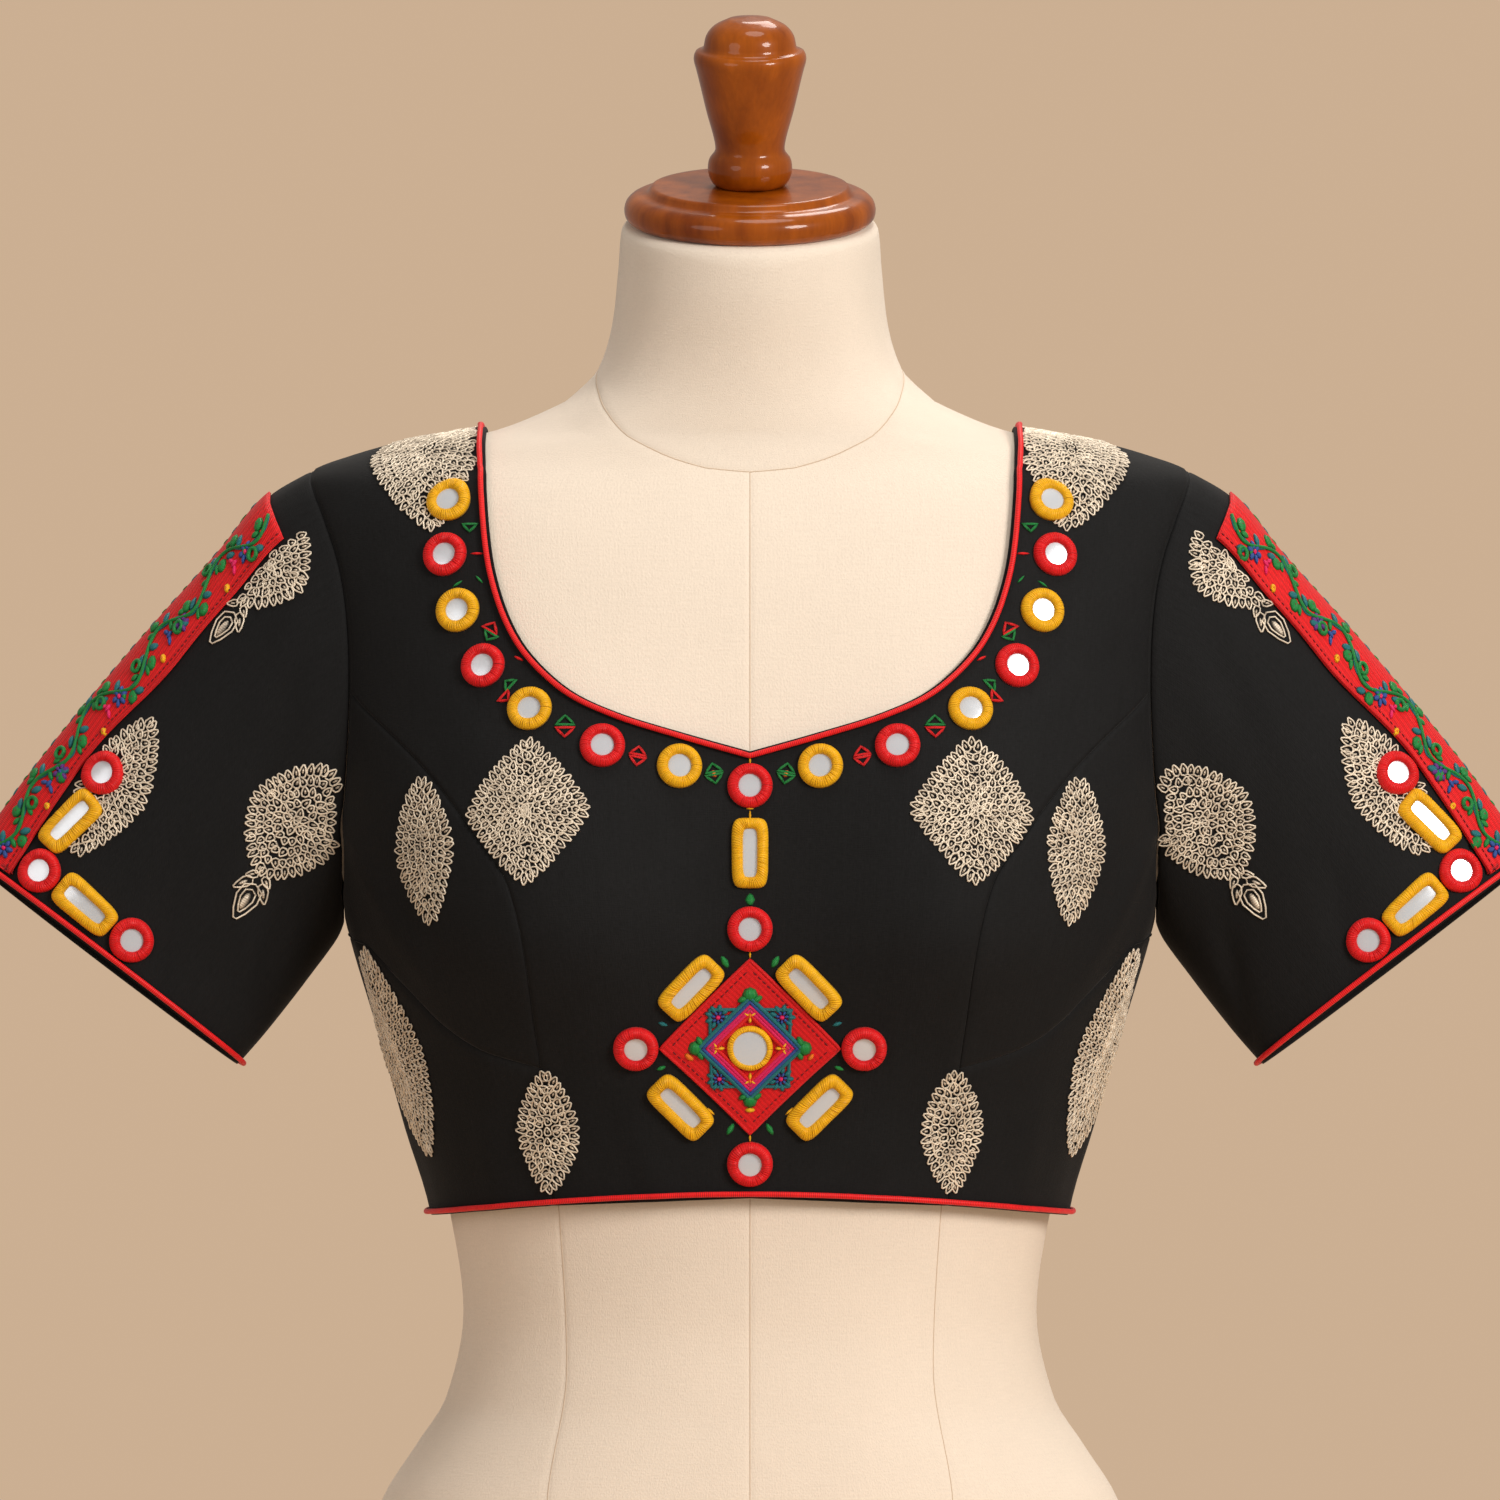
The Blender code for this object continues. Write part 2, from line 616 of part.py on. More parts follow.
def plain_sleeve(round_by, share):
    """Ovals between the sleeve's upper and lower lines; round_by is 0 on the outer line."""
    top_x, top_z, bottom_x, bottom_z, depth, square = (smooth(share, SLEEVE[0], column)
                                                       for column in SLEEVE[1:])
    sine, cosine = np.sin(round_by), np.cos(round_by)
    size = (np.abs(sine) ** square + np.abs(cosine) ** square) ** (1 / square)
    up, front = cosine / size, sine / size
    skew = -CUFF_SKEW * front * share
    x = (top_x + bottom_x) / 2 + (top_x - bottom_x) / 2 * up + skew * 0.61
    z = (top_z + bottom_z) / 2 + (top_z - bottom_z) / 2 * up - skew * 0.79
    y = CUFF_FORWARD * share ** 1.3 - depth * front
    return np.stack([x, y, z], axis=-1)


def sleeve_base(round_by, share):
    """The plain ovals, drawn at their start onto the armhole's edge, with the soft creases."""
    round_by, share = np.broadcast_arrays(np.asarray(round_by, float), np.asarray(share, float))
    start = plain_sleeve(round_by, np.zeros_like(share))
    fade = 1 - ramp(share, 0.0, SLEEVE_BLEND)
    return plain_sleeve(round_by, share) + (armhole_at(round_by) - start) * fade[..., None]


def sleeve_point(round_by, share, out=0.0):
    """A point of the left sleeve: its outer face moved out by out and in by the creases."""
    round_by, share = np.broadcast_arrays(np.asarray(round_by, float), np.asarray(share, float))
    crease = np.zeros_like(share)
    for degrees, middle, wide, long, depth in SLEEVE_CREASES:
        slant = math.radians(degrees) + (share - middle) * math.copysign(0.9, degrees)
        away = (round_by - slant + math.pi) % (2 * math.pi) - math.pi
        crease += depth * np.exp(-(away / math.radians(wide)) ** 2 - ((share - middle) / long) ** 2)
    crease *= ramp(share, 0.02, 0.2)
    normal = normal_of(sleeve_base, round_by, np.clip(share, 0.004, 0.996), 0.004, 0.004)
    return sleeve_base(round_by, share) + normal * (out - crease)[..., None]


FINE_ROUND = np.linspace(0, math.pi, 361)


def sleeve_round(arc, share):
    """The round_by that is arc millimetres from the outer line, at one share of the sleeve."""
    ring = plain_sleeve(FINE_ROUND, np.full_like(FINE_ROUND, share))
    return np.interp(abs(arc), lengths(ring), FINE_ROUND) * math.copysign(1, arc)


def cuff_share(round_by, up):
    """The share of the sleeve that is up millimetres from the cuff's edge."""
    reach = sleeve_base(round_by, 1.0) - sleeve_base(round_by, 0.9)
    return 1 - 0.1 * up / np.linalg.norm(reach, axis=-1)


SLEEVE_SIDES = 24
SLEEVE_SHARES = (0.0, 0.05, 0.12, 0.22, 0.34, 0.47, 0.61, 0.75, 0.88, 1.0)
ARMHOLE_CLEAR = 0.6       # the sleeve's first ring stays this far from the body's edge


def add_sleeves():
    round_by = np.arange(SLEEVE_SIDES) * 2 * math.pi / SLEEVE_SIDES
    grid = sleeve_point(round_by[None, :], np.array(SLEEVE_SHARES)[:, None])
    away = grid[1] - grid[0]
    grid[0] += away / np.linalg.norm(away, axis=-1, keepdims=True) * ARMHOLE_CLEAR
    for side, right in (("left", False), ("right", True)):
        add_wall(f"sleeve_{side}", grid, CLOTH_BLACK, outward=False, right=right, closed=True)


def add_bands():
    """The red band over each sleeve's outer line, the same width all the way."""
    shares = BAND_FROM_SHOULDER + (1 - BAND_FROM_SHOULDER) * np.linspace(0, 1, 10) ** 1.3
    arcs = np.linspace(-BAND_HALF_WIDTH, BAND_HALF_WIDTH, 11)
    round_by = np.array([[sleeve_round(arc, share) for arc in arcs] for share in shares])
    grid_shares = np.repeat(shares[:, None], len(arcs), axis=1)
    grid_shares[-1] = cuff_share(round_by[-1], BAND_FROM_CUFF)
    grid = sleeve_point(round_by, grid_shares, BAND_SEAT)
    for side, right in (("left", False), ("right", True)):
        add_wall(f"sleeve_band_{side}", grid, THREAD_RED, thickness=BAND_WALL, right=right)


# ---------------------------------------------------------------- piping


def add_piping(name, path, cyclic, right=False):
    """A round cord along a path of points, as a curve with a bevel."""
    curve = bpy.data.curves.new(name, "CURVE")
    curve.dimensions = "3D"
    curve.bevel_depth = PIPING_RADIUS * MM
    curve.bevel_resolution = 1
    curve.use_fill_caps = True
    spline = curve.splines.new("POLY")
    spline.points.add(len(path) - 1)
    flip = -1 if right else 1
    rows = np.column_stack([path * MM * (flip, 1, 1), np.ones(len(path))])
    spline.points.foreach_set("co", rows.ravel())
    spline.use_cyclic_u = cyclic
    curve.materials.append(material_for(name, THREAD_RED))
    piece = bpy.data.objects.new(name, curve)
    collection.objects.link(piece)


PIPING_OUT = WALL + PIPING_SEAT + PIPING_RADIUS


def edge_path(line, inward):
    """The middle of the piping that lies just inside a line of (turn, run) rows on the cloth."""
    edge = cloth_point(line[:, 0], line[:, 1], WALL)
    normal = normal_of(form_point, line[:, 0], line[:, 1], 0.002, 0.2)
    along = np.gradient(edge, lengths(edge), axis=0)
    aside = np.cross(normal, along) * inward
    aside /= np.linalg.norm(aside, axis=-1, keepdims=True)
    return edge + aside * PIPING_INSET + normal * (PIPING_SEAT + PIPING_RADIUS), aside


def add_body_piping():
    front, aside = edge_path(even(FRONT_NECK_LINE, 18), -1)
    # The two sides of the V meet on the centre line.
    front[0] += (0, 0, front[0, 0] * aside[0, 0] / aside[0, 2])
    front[0, 0] = 0.0
    back, aside = edge_path(even(BACK_NECK_LINE, 13), 1)
    back[0, 0] = SEAM_GAP
    side = np.concatenate([back, front[::-1][1:]])
    other = side[::-1] * (-1, 1, 1)
    add_piping("neck_piping", np.concatenate([side, other[1:]]), cyclic=False)

    turn = np.linspace(-math.pi, math.pi, 47)
    turn[0] += 0.004
    turn[-1] -= 0.004
    add_piping("hem_piping", cloth_point(turn, hem_run(turn) + PIPING_INSET, PIPING_OUT), cyclic=False)


def add_cuff_piping():
    round_by = np.arange(SLEEVE_SIDES) * 2 * math.pi / SLEEVE_SIDES
    path = sleeve_point(round_by, cuff_share(round_by, PIPING_INSET), PIPING_SEAT + PIPING_RADIUS)
    for side, right in (("left", False), ("right", True)):
        add_piping(f"cuff_piping_{side}", path, cyclic=True, right=right)


# ---------------------------------------------------------------- padded mirrors and the patch


def on_surface(surface, a, b, u, v, out):
    """Points u sideways and v along a surface from its point (a, b), and out from it."""
    step = 0.002
    along_a = (surface(a + step, b) - surface(a - step, b)) / (2 * step)
    along_b = (surface(a, b + step) - surface(a, b - step)) / (2 * step)
    e1 = along_a / np.linalg.norm(along_a)
    e2 = along_b - e1 * (along_b @ e1)
    e2 /= np.linalg.norm(e2)
    frame = np.array([[along_a @ e1, along_b @ e1], [along_a @ e2, along_b @ e2]])
    shift = np.linalg.solve(frame, np.stack([u.ravel(), v.ravel()]))
    places = surface(a + shift[0], b + shift[1], out.ravel())
    return places.reshape(*u.shape, 3)


def outline(kind, sides):
    """A unit outline that goes once round: a circle, or a rectangle with round corners."""
    angle = np.arange(sides) * 2 * math.pi / sides
    if kind == "ring":
        return RING_RADIUS * np.cos(angle), RING_RADIUS * np.sin(angle)
    power = 5.0
    u, v = np.cos(angle), np.sin(angle)
    # The angle is bent so that the points gather at the corners.
    size = (np.abs(u) ** power + np.abs(v) ** power) ** (1 / power)
    return BAR_HALF_LENGTH * u / size, BAR_HALF_WIDTH * v / size


RING_SIDES, BAR_SIDES = 12, 16


def mirror_mesh(kind, surface, a, b, slope, seat):
    """A padded mirror laid on a surface: rows of points in from its outline, closed at both ends."""
    sides = RING_SIDES if kind == "ring" else BAR_SIDES
    edge_u, edge_v = outline(kind, sides)
    half_length, half_width = (RING_RADIUS,) * 2 if kind == "ring" else (BAR_HALF_LENGTH, BAR_HALF_WIDTH)
    inset, height = np.array(MIRROR_SECTION).T[:, :, None]
    u = edge_u[None] * (1 - inset / half_length)
    v = edge_v[None] * (1 - inset / half_width)
    out = np.broadcast_to(seat + height, u.shape)
    u = np.concatenate([[0], u.ravel(), [0]])
    v = np.concatenate([[0], v.ravel(), [0]])
    out = np.concatenate([[seat], out.ravel(), [seat + MIRROR_SECTION[-1][1]]])
    turned_u = u * math.cos(slope) - v * math.sin(slope)
    turned_v = u * math.sin(slope) + v * math.cos(slope)
    points = on_surface(surface, a, b, turned_u, turned_v, out)
    rows = len(MIRROR_SECTION)
    faces = [tuple(index + 1 for index in quad) for quad in grid_faces(rows, sides, closed=True)]
    last = len(points) - 1
    for side in range(sides):
        after = (side + 1) % sides
        faces.append((0, 1 + after, 1 + side))
        faces.append((last, last - sides + side, last - sides + after))
    return points, faces


def add_mirror(name, kind, x, height, slope, look, seat=WALL + SEAT):
    run = run_at(height)
    turn = turn_at_x(x, run) * math.copysign(1, x)
    points, faces = mirror_mesh(kind, cloth_point, float(turn), float(run), math.radians(slope), seat)
    add_mesh(name, points, faces, look)


def add_front_mirrors():
    looks = {"red": THREAD_RED, "yellow": THREAD_YELLOW}
    for number, (x, height, colour) in enumerate(NECK_MIRRORS):
        if x == 0:
            add_mirror("mirror_neck_centre", "ring", x, height, 0.0, looks[colour])
            continue
        add_mirror(f"mirror_neck_{number}_left", "ring", x, height, 0.0, looks[colour])
        add_mirror(f"mirror_neck_{number}_right", "ring", -x, height, 0.0, looks[colour])
    for name, x, height in FRONT_RINGS:
        add_mirror(name, "ring", x, height, 0.0, THREAD_RED)
    for name, x, height, slope in FRONT_BARS:
        add_mirror(name, "bar", x, height, slope, THREAD_YELLOW)


def add_diamond():
    """The diamond patch, a square stood on its corner, with a padded mirror at its centre."""
    p, q = np.meshgrid(np.linspace(-1, 1, 7), np.linspace(-1, 1, 7))
    u, v = DIAMOND_HALF * (p - q) / 2, DIAMOND_HALF * (p + q) / 2
    run = float(run_at(DIAMOND_HEIGHT))
    grid = on_surface(cloth_point, 0.0, run, u, v, np.full(u.shape, WALL + SEAT))
    add_wall("diamond_patch", grid, THREAD_RED, thickness=DIAMOND_WALL)
    add_mirror("mirror_diamond_centre", "ring", 0.0, DIAMOND_HEIGHT, 0.0, THREAD_YELLOW,
               seat=WALL + 2 * SEAT + DIAMOND_WALL)


def add_chains():
    """The chain of padded mirrors on the front of each sleeve."""
    for link, kind, arc, up, lengthwise in CHAIN:
        round_by = sleeve_round(arc, 0.95)
        share = float(cuff_share(np.array(round_by), up))
        round_by = sleeve_round(arc, share)
        slope = math.pi / 2 if lengthwise else 0.0
        look = THREAD_RED if kind == "ring" else THREAD_YELLOW
        points, faces = mirror_mesh(kind, sleeve_point, round_by, share, slope, SEAT)
        add_mesh(f"sleeve_{link}_left", points, faces, look)
        add_mesh(f"sleeve_{link}_right", points * (-1, 1, 1), [face[::-1] for face in faces], look)


# ---------------------------------------------------------------- the dress form

FORM_SIDES = 36


def add_form():
    """The padded torso and neck: one closed skin of level sections, flat at both ends."""
    rows = []
    for low, high in zip(RUNS[:-1], RUNS[1:]):
        count = max(1, round((high - low) / 24.0))
        rows += list(np.linspace(low, high, count, endpoint=False))
    rows.append(RUNS[-1])
    turn = np.arange(FORM_SIDES) * 2 * math.pi / FORM_SIDES
    grid = form_point(turn[None, :], np.array(rows)[:, None])
    faces = grid_faces(len(rows), FORM_SIDES, closed=True)
    faces.append(tuple(range(FORM_SIDES))[::-1])
    faces.append(tuple((len(rows) - 1) * FORM_SIDES + side for side in range(FORM_SIDES)))
    add_mesh("form_torso", grid.reshape(-1, 3), faces, CANVAS)


def add_turned(name, profile, top, base, look):
    """A turned piece on the neck's leaning axis: a profile from its foot to its top, screwed round."""
    rows = [(radius, height) for radius, height in profile]
    points = [(0.0, 0.0, top)] + [(radius, 0.0, height) for radius, height in rows[::-1]] + [(0.0, 0.0, 0.0)]
    mesh = bpy.data.meshes.new(name)
    edges = [(index, index + 1) for index in range(len(points) - 1)]
    mesh.from_pydata((np.array(points) * MM).tolist(), edges, [])
    mesh.materials.append(material_for(name, look))
    piece = bpy.data.objects.new(name, mesh)
    collection.objects.link(piece)
    screw = piece.modifiers.new("turned", "SCREW")
    screw.steps = screw.render_steps = TURNED_SIDES
    screw.use_merge_vertices = True
    screw.merge_threshold = 0.00005
    lean = np.array([0.0, -math.sin(NECK_TILT), math.cos(NECK_TILT)])
    foot = np.array([0.0, NECK_LEAN, NECK_TOP]) + lean * base
    piece.location = (foot * MM).tolist()
    piece.rotation_euler = (NECK_TILT, 0.0, 0.0)
    return piece


def add_wood():
    plate_top = NECK_PLATE_PROFILE[-1][1]
    add_turned("form_neck_plate", NECK_PLATE_PROFILE, plate_top, 0.3, WOOD)
    add_turned("form_finial", FINIAL_PROFILE, FINIAL_TOP, plate_top + 0.6, WOOD)


def main():
    start_scene("choli_blouse_on_form")
    add_form()
    add_wood()
    add_front()
    add_side_fronts()
    add_backs()
    add_sleeves()
    add_bands()
    add_body_piping()
    add_cuff_piping()
    add_front_mirrors()
    add_diamond()
    add_chains()


main()
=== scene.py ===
"""The looks of a choli blouse on the limbless dress form that it rests on.

The cloth is worked out again here, finer, from the form's own level sections, and the piping,
mirrors, embroidery and medallions are laid on those same surfaces.

Frame: metres, +Z up, the front faces -Y, the origin is the centre of the form's flat base.
Sizes in the tables are in millimetres. "Left" is the wearer's left, at +X.
"""

import math

import bmesh
import bpy
import numpy as np
from bpy.props import FloatProperty, FloatVectorProperty, PointerProperty
from bpy.types import Operator, Panel, PropertyGroup
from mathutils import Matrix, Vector
from numpy import concatenate, cos, linspace, pi, sin
from numpy.linalg import norm


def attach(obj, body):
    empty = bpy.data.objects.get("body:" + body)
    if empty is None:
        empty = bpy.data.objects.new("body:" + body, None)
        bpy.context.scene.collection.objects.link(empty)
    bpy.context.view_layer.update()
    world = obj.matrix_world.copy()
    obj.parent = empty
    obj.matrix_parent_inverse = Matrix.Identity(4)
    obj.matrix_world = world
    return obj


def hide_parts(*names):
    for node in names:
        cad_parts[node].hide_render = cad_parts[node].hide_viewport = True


bl_info = {
    "name": "Choli blouse on a dress form",
    "version": (1, 0, 0),
    "blender": (4, 5, 0),
    "location": "View3D > Sidebar > Choli",
    "description": "Dresses the packed model of a choli blouse on its dress form",
    "category": "Add Mesh",
}

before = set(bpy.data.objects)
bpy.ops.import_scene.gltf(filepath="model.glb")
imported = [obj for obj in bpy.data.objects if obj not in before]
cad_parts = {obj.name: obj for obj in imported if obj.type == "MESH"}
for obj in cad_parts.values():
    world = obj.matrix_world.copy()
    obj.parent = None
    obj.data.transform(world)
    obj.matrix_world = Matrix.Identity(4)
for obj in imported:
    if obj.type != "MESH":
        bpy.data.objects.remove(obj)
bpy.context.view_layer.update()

MM = 0.001

# ---- driving sizes, in mm
WALL = 1.5  # from the cloth's inner face to its outer face
SHELL = 1.2  # thickness of the shells, inwards from the outer face
EASE_CLOSE = 1.1  # between form and cloth where the blouse fits closely
EASE_SIDE = 6.5  # extra ease at the hem's sides
EASE_FRONT = 6.0  # and at its front
EASE_BACK = 5.0  # and at its back
EASE_TOP = 345.0  # height where the blouse starts to stand away
EASE_FULL = 193.26  # height below which the extra ease is full
EASE_BLADES = 1.3  # extra ease over the whole back
BLADES_BY = 0.35  # cosine of the turn past which that ease is full

HEM_HEIGHT = 232.6  # hem at the side seams and the back
HEM_RISE = 9.3  # how much higher the hem is at the front centre
SHOULDER_NECK = 110.0  # half width between the shoulder seams' inner ends
UNDERARM_HEIGHT = 355.7

CUP_FULLNESS = 22.0  # how far a cup stands out of the chest
CUP_APART = 92.0  # centre line to the fullest point
CUP_HEIGHT = 350.0
CUP_WIDE, CUP_ABOVE, CUP_BELOW = 40.0, 58.0, 34.0

NECK_TILT = math.radians(14.0)  # the neck's top face leans forward
NECK_TILT_FROM, NECK_TILT_TO = 585.0, 645.0
NECK_TOP = 646.8
NECK_LEAN = -6.5

ARMHOLE_CENTRE, ARMHOLE_HALF_HEIGHT, ARMHOLE_HALF_DEPTH = 448.4, 92.6, 46.0
ARMHOLE_SQUARE = 2.3

PIPING_RADIUS = 1.15
PIPING_INSET = 2.1  # from the cloth's edge to the middle of the piping
PIPING_SEAT = 0.35  # clearance under the piping

BAND_HALF_WIDTH = 28.5
BAND_WALL = 1.0
BAND_FROM_SHOULDER = 0.09  # where the band starts, as a share of the sleeve's length
BAND_FROM_CUFF = 4.6  # clear strip between the band and the cuff's edge
BAND_SEAT = 0.7

CUFF_FORWARD = -12.0  # how far the cuff's middle points forward
CUFF_SKEW = 2.6  # how much further the cuff's back edge reaches

RING_RADIUS = 9.5
BAR_HALF_LENGTH, BAR_HALF_WIDTH = 14.7, 7.7
DIAMOND_HEIGHT = 304.2
DIAMOND_HALF = 37.0  # half the diagonal of the diamond patch
DIAMOND_WALL = 1.0

# The form's level sections, from the base to the top of the neck.
FORM_SECTIONS = (  # height, half width, front depth, back depth, squareness, lean
    (0, 170, 103, 116, 2.3, 0), (4, 172, 105, 118, 2.3, 0), (60, 169, 102.5, 116.5, 2.3, 0),
    (111, 154.6, 97, 108, 2.3, 0), (134, 140.3, 93, 99, 2.25, 0), (155, 127.3, 89, 90, 2.2, 0),
    (190, 120.3, 85, 82, 2.2, 0), (232, 126, 86, 80, 2.2, 0), (271, 139.3, 91, 82, 2.25, 0),
    (311, 153.6, 97, 87, 2.3, 0), (355, 167.2, 101, 94, 2.4, 0), (400, 175, 98, 100, 2.5, 0),
    (450, 178.5, 89, 102, 2.55, 0), (490, 183, 79, 98, 2.55, 0), (515, 186.5, 70, 90, 2.55, 0),
    (530, 188.3, 63, 82, 2.4, 0), (537, 186.8, 59.5, 77, 2.25, 0), (541, 182.5, 57, 74, 2.1, 0),
    (546.8, 167.6, 54.5, 70, 1.95, 0), (552.6, 146.8, 52.5, 66, 1.9, 0),
    (556.7, 123.8, 51.3, 63.5, 1.9, 0), (558.9, 111.5, 51, 62, 1.9, 0), (568.7, 85, 51, 59, 1.95, 0),
    (577, 70.5, 51, 57, 2, -0.5), (591, 61.5, 51.5, 54.5, 2, -2), (607, 57.4, 52.5, 53.5, 2, -3.8),
    (628, 55.2, 53.4, 53.4, 2, -5.5), (644.5, 53.7, 53.5, 53.5, 2, NECK_LEAN),
    (NECK_TOP, 51.8, 51.6, 51.6, 2, NECK_LEAN),
)

# The necklines, from the centre up to the shoulder seam.
FRONT_NECKLINE = (  # half width, height
    (0, 424.8), (25.5, 431.8), (53.3, 440.2), (70.8, 448), (82.2, 456.8), (93.7, 470.3), (101.5, 487),
    (106.2, 505.2), (108.6, 526), (109.7, 544), (SHOULDER_NECK, 552),
)
BACK_NECKLINE = (  # half width, height
    (0, 470), (36, 473), (66, 483), (88, 500), (101, 520), (107.5, 538), (SHOULDER_NECK, 551),
)

# The princess seam, from the hem up to the armhole.
PRINCESS_SEAM = (  # from the centre line, height
    (78, HEM_HEIGHT), (85.1, 295.2), (88, 313.7), (92.9, 346.6), (99.9, 372.5), (111.8, 389.7),
    (131.9, 416), (165.5, 449.8),
)

# The under-bust seam, from the princess seam round to the side seam.
UNDER_BUST_SEAM = (  # from the centre line, height
    (85.3, 296), (107.7, 302.6), (126, 313.7), (139.6, 327.1), (157, 345),
)
UNDER_BUST_SIDE = 349.5  # where that seam meets the side seam

# The sleeve's upper and lower lines, seen from the front, from shoulder point to cuff.
SLEEVE_SECTIONS = (  # share, top x, top z, bottom x, bottom z, half depth, squareness
    (0, 184, 542, 171.2, 355.7, 46, 2.3), (0.094, 201.6, 531.7, 173.4, 349, 45.5, 2.25),
    (0.238, 221.8, 508.2, 178.4, 340, 43.5, 2.2), (0.424, 248.6, 478.4, 186.5, 328.7, 40.5, 2.15),
    (0.614, 275.1, 447.3, 195, 317.6, 37, 2.1), (0.814, 302, 413.7, 204.2, 306.1, 33, 2.05),
    (1, 326.3, 379.3, 214.6, 294.1, 30, 2),
)
SLEEVE_BLEND = 0.35  # share of the sleeve over which the armhole's shape fades out
# Padded mirrors round the neckline, on one side.
NECK_MIRRORS = (  # from the centre line, height, colour
    (0, 410.7, "red"), (29.2, 418.7, "yellow"), (60.8, 426.9, "red"), (90.4, 442.1, "yellow"),
    (109.6, 460.1, "red"), (120.3, 483.1, "yellow"), (125.9, 506.2, "red"), (124.8, 528.2, "yellow"),
)

# Padded mirrors of the centre front, below the neckline.
FRONT_MIRRORS = (  # name, kind, x, height, slope of its long side in degrees
    ("ring_upper", "ring", 0, 352.3, 0), ("ring_lower", "ring", 0, 256.2, 0),
    ("ring_side_left", "ring", 46.9, 304.2, 0), ("ring_side_right", "ring", -46.9, 304.2, 0),
    ("bar_top", "bar", 0, 383.2, 90), ("bar_upper_left", "bar", 24.6, 328.6, -46),
    ("bar_upper_right", "bar", -24.6, 328.6, 46), ("bar_lower_left", "bar", 28.2, 279.8, 46),
    ("bar_lower_right", "bar", -28.2, 279.8, -46),
)
# The mirror chain of a sleeve: down beside the band and then along the cuff.
CHAIN = (  # name, kind, round from the outer line, up from the cuff, degrees that its long side is turned
    ("ring_upper", "ring", 38.5, 62.4, 90), ("bar_upper", "bar", 38.5, 37.7, 90),
    ("ring_corner", "ring", 38.5, 13.1, 90), ("bar_lower", "bar", 63.2, 13.1, 0),
    ("ring_lower", "ring", 88.3, 13.1, 0),
)
KIND_COLOURS = {"ring": "red", "bar": "yellow"}
NECK_PLATE_PROFILE = (  # radius, height above the neck's top face
    (49, 0), (52.2, 2.4), (52.9, 6), (51.6, 9.6), (48, 12), (43.6, 12.7),
    (42.4, 13.3), (42.2, 15.2), (41.2, 15.8),
)
FINIAL_PROFILE = (  # radius, height above the plate's top face
    (14.6, 0), (16.8, 3), (17.8, 7.6), (16.9, 12.2), (14.4, 14.8), (18.6, 33),
    (22.9, 51), (23.8, 54.2), (22.6, 57.4), (19.8, 58), (18.7, 63.2), (15.4, 67.6), (9, 70.9),
)
FINIAL_TOP = 72.0

SIDES = (("left", 1), ("right", -1))

# ---- curves and grids


def smooth(at, knots, values):
    """A monotone cubic through a table's rows, so it never overshoots between two rows."""
    step = np.diff(knots)
    rise = np.diff(values) / step
    slope = np.zeros(len(knots))
    before, after = rise[:-1], rise[1:]
    turns = before * after <= 0
    safe_before, safe_after = np.where(turns, 1, before), np.where(turns, 1, after)
    heavy, light = 2 * step[1:] + step[:-1], step[1:] + 2 * step[:-1]
    slope[1:-1] = np.where(turns, 0, (heavy + light) / (heavy / safe_before + light / safe_after))
    slope[0], slope[-1] = rise[0], rise[-1]
    row = np.clip(np.searchsorted(knots, at, side="right") - 1, 0, len(step) - 1)
    u = (at - knots[row]) / step[row]
    return ((2 * u + 1) * (1 - u) ** 2 * values[row] + u * (1 - u) ** 2 * step[row] * slope[row]
            + u * u * (3 - 2 * u) * values[row + 1] + u * u * (u - 1) * step[row] * slope[row + 1])


def ramp(value, low, high):
    """0 below low, 1 above high, and an S-curve between them."""
    u = np.clip((value - low) / (high - low), 0, 1)
    return u * u * (3 - 2 * u)


def bell(value):
    """1 at 0, falling as e to the minus square."""
    return np.exp(-value ** 2)


def circle(count):
    """Even angles round a whole turn."""
    return np.arange(count) * 2 * pi / count


def wrapped(angle):
    """The same angle between minus and plus half a turn."""
    return (angle + pi) % (2 * pi) - pi


def oval(angle, square):
    """A superellipse of half size 1, read by its angle: its parts by sine and by cosine."""
    sine, cosine = sin(angle), cos(angle)
    size = (np.abs(sine) ** square + np.abs(cosine) ** square) ** (1 / square)
    return sine / size, cosine / size


def matched(*values):
    """Numbers or arrays as arrays of one shape."""
    return np.broadcast_arrays(*(np.asarray(value, float) for value in values))


def lengths(points, axis=0):
    """How far along a line of points, or along one axis of a grid, each point is."""
    gaps = np.diff(points, axis=axis, prepend=np.take(points, [0], axis))
    return norm(gaps, axis=-1).cumsum(axis=axis)


def slopes(surface, a, b, step_a, step_b):
    """A surface's slopes along a and along b, by differences to both sides."""
    return ((surface(a + step_a, b) - surface(a - step_a, b)) / (2 * step_a),
            (surface(a, b + step_b) - surface(a, b - step_b)) / (2 * step_b))


def normal_of(surface, a, b, step_a, step_b):
    """The outward unit normal: the slope along a crossed with the slope along b."""
    normal = np.cross(*slopes(surface, a, b, step_a, step_b))
    return normal / norm(normal, axis=-1, keepdims=True)


# ---- the form's surface

HEIGHTS, HALF_WIDTHS, FRONTS, BACKS, SQUARES, LEANS = np.array(FORM_SECTIONS).T
# "Run" is the way up the form's side outline, so it keeps counting over the shoulder.
RUNS = lengths(np.column_stack([HALF_WIDTHS, HEIGHTS]))
FINE_RUNS = linspace(0, RUNS[-1], 4000)
FINE_HEIGHTS = smooth(FINE_RUNS, RUNS, HEIGHTS)


def run_at(height):
    return np.interp(height, FINE_HEIGHTS, FINE_RUNS)


def section_at(run):
    """The section at run: half width, front and back depths, squareness, lean and height."""
    return [smooth(run, RUNS, part) for part in (HALF_WIDTHS, FRONTS, BACKS, SQUARES, LEANS, HEIGHTS)]


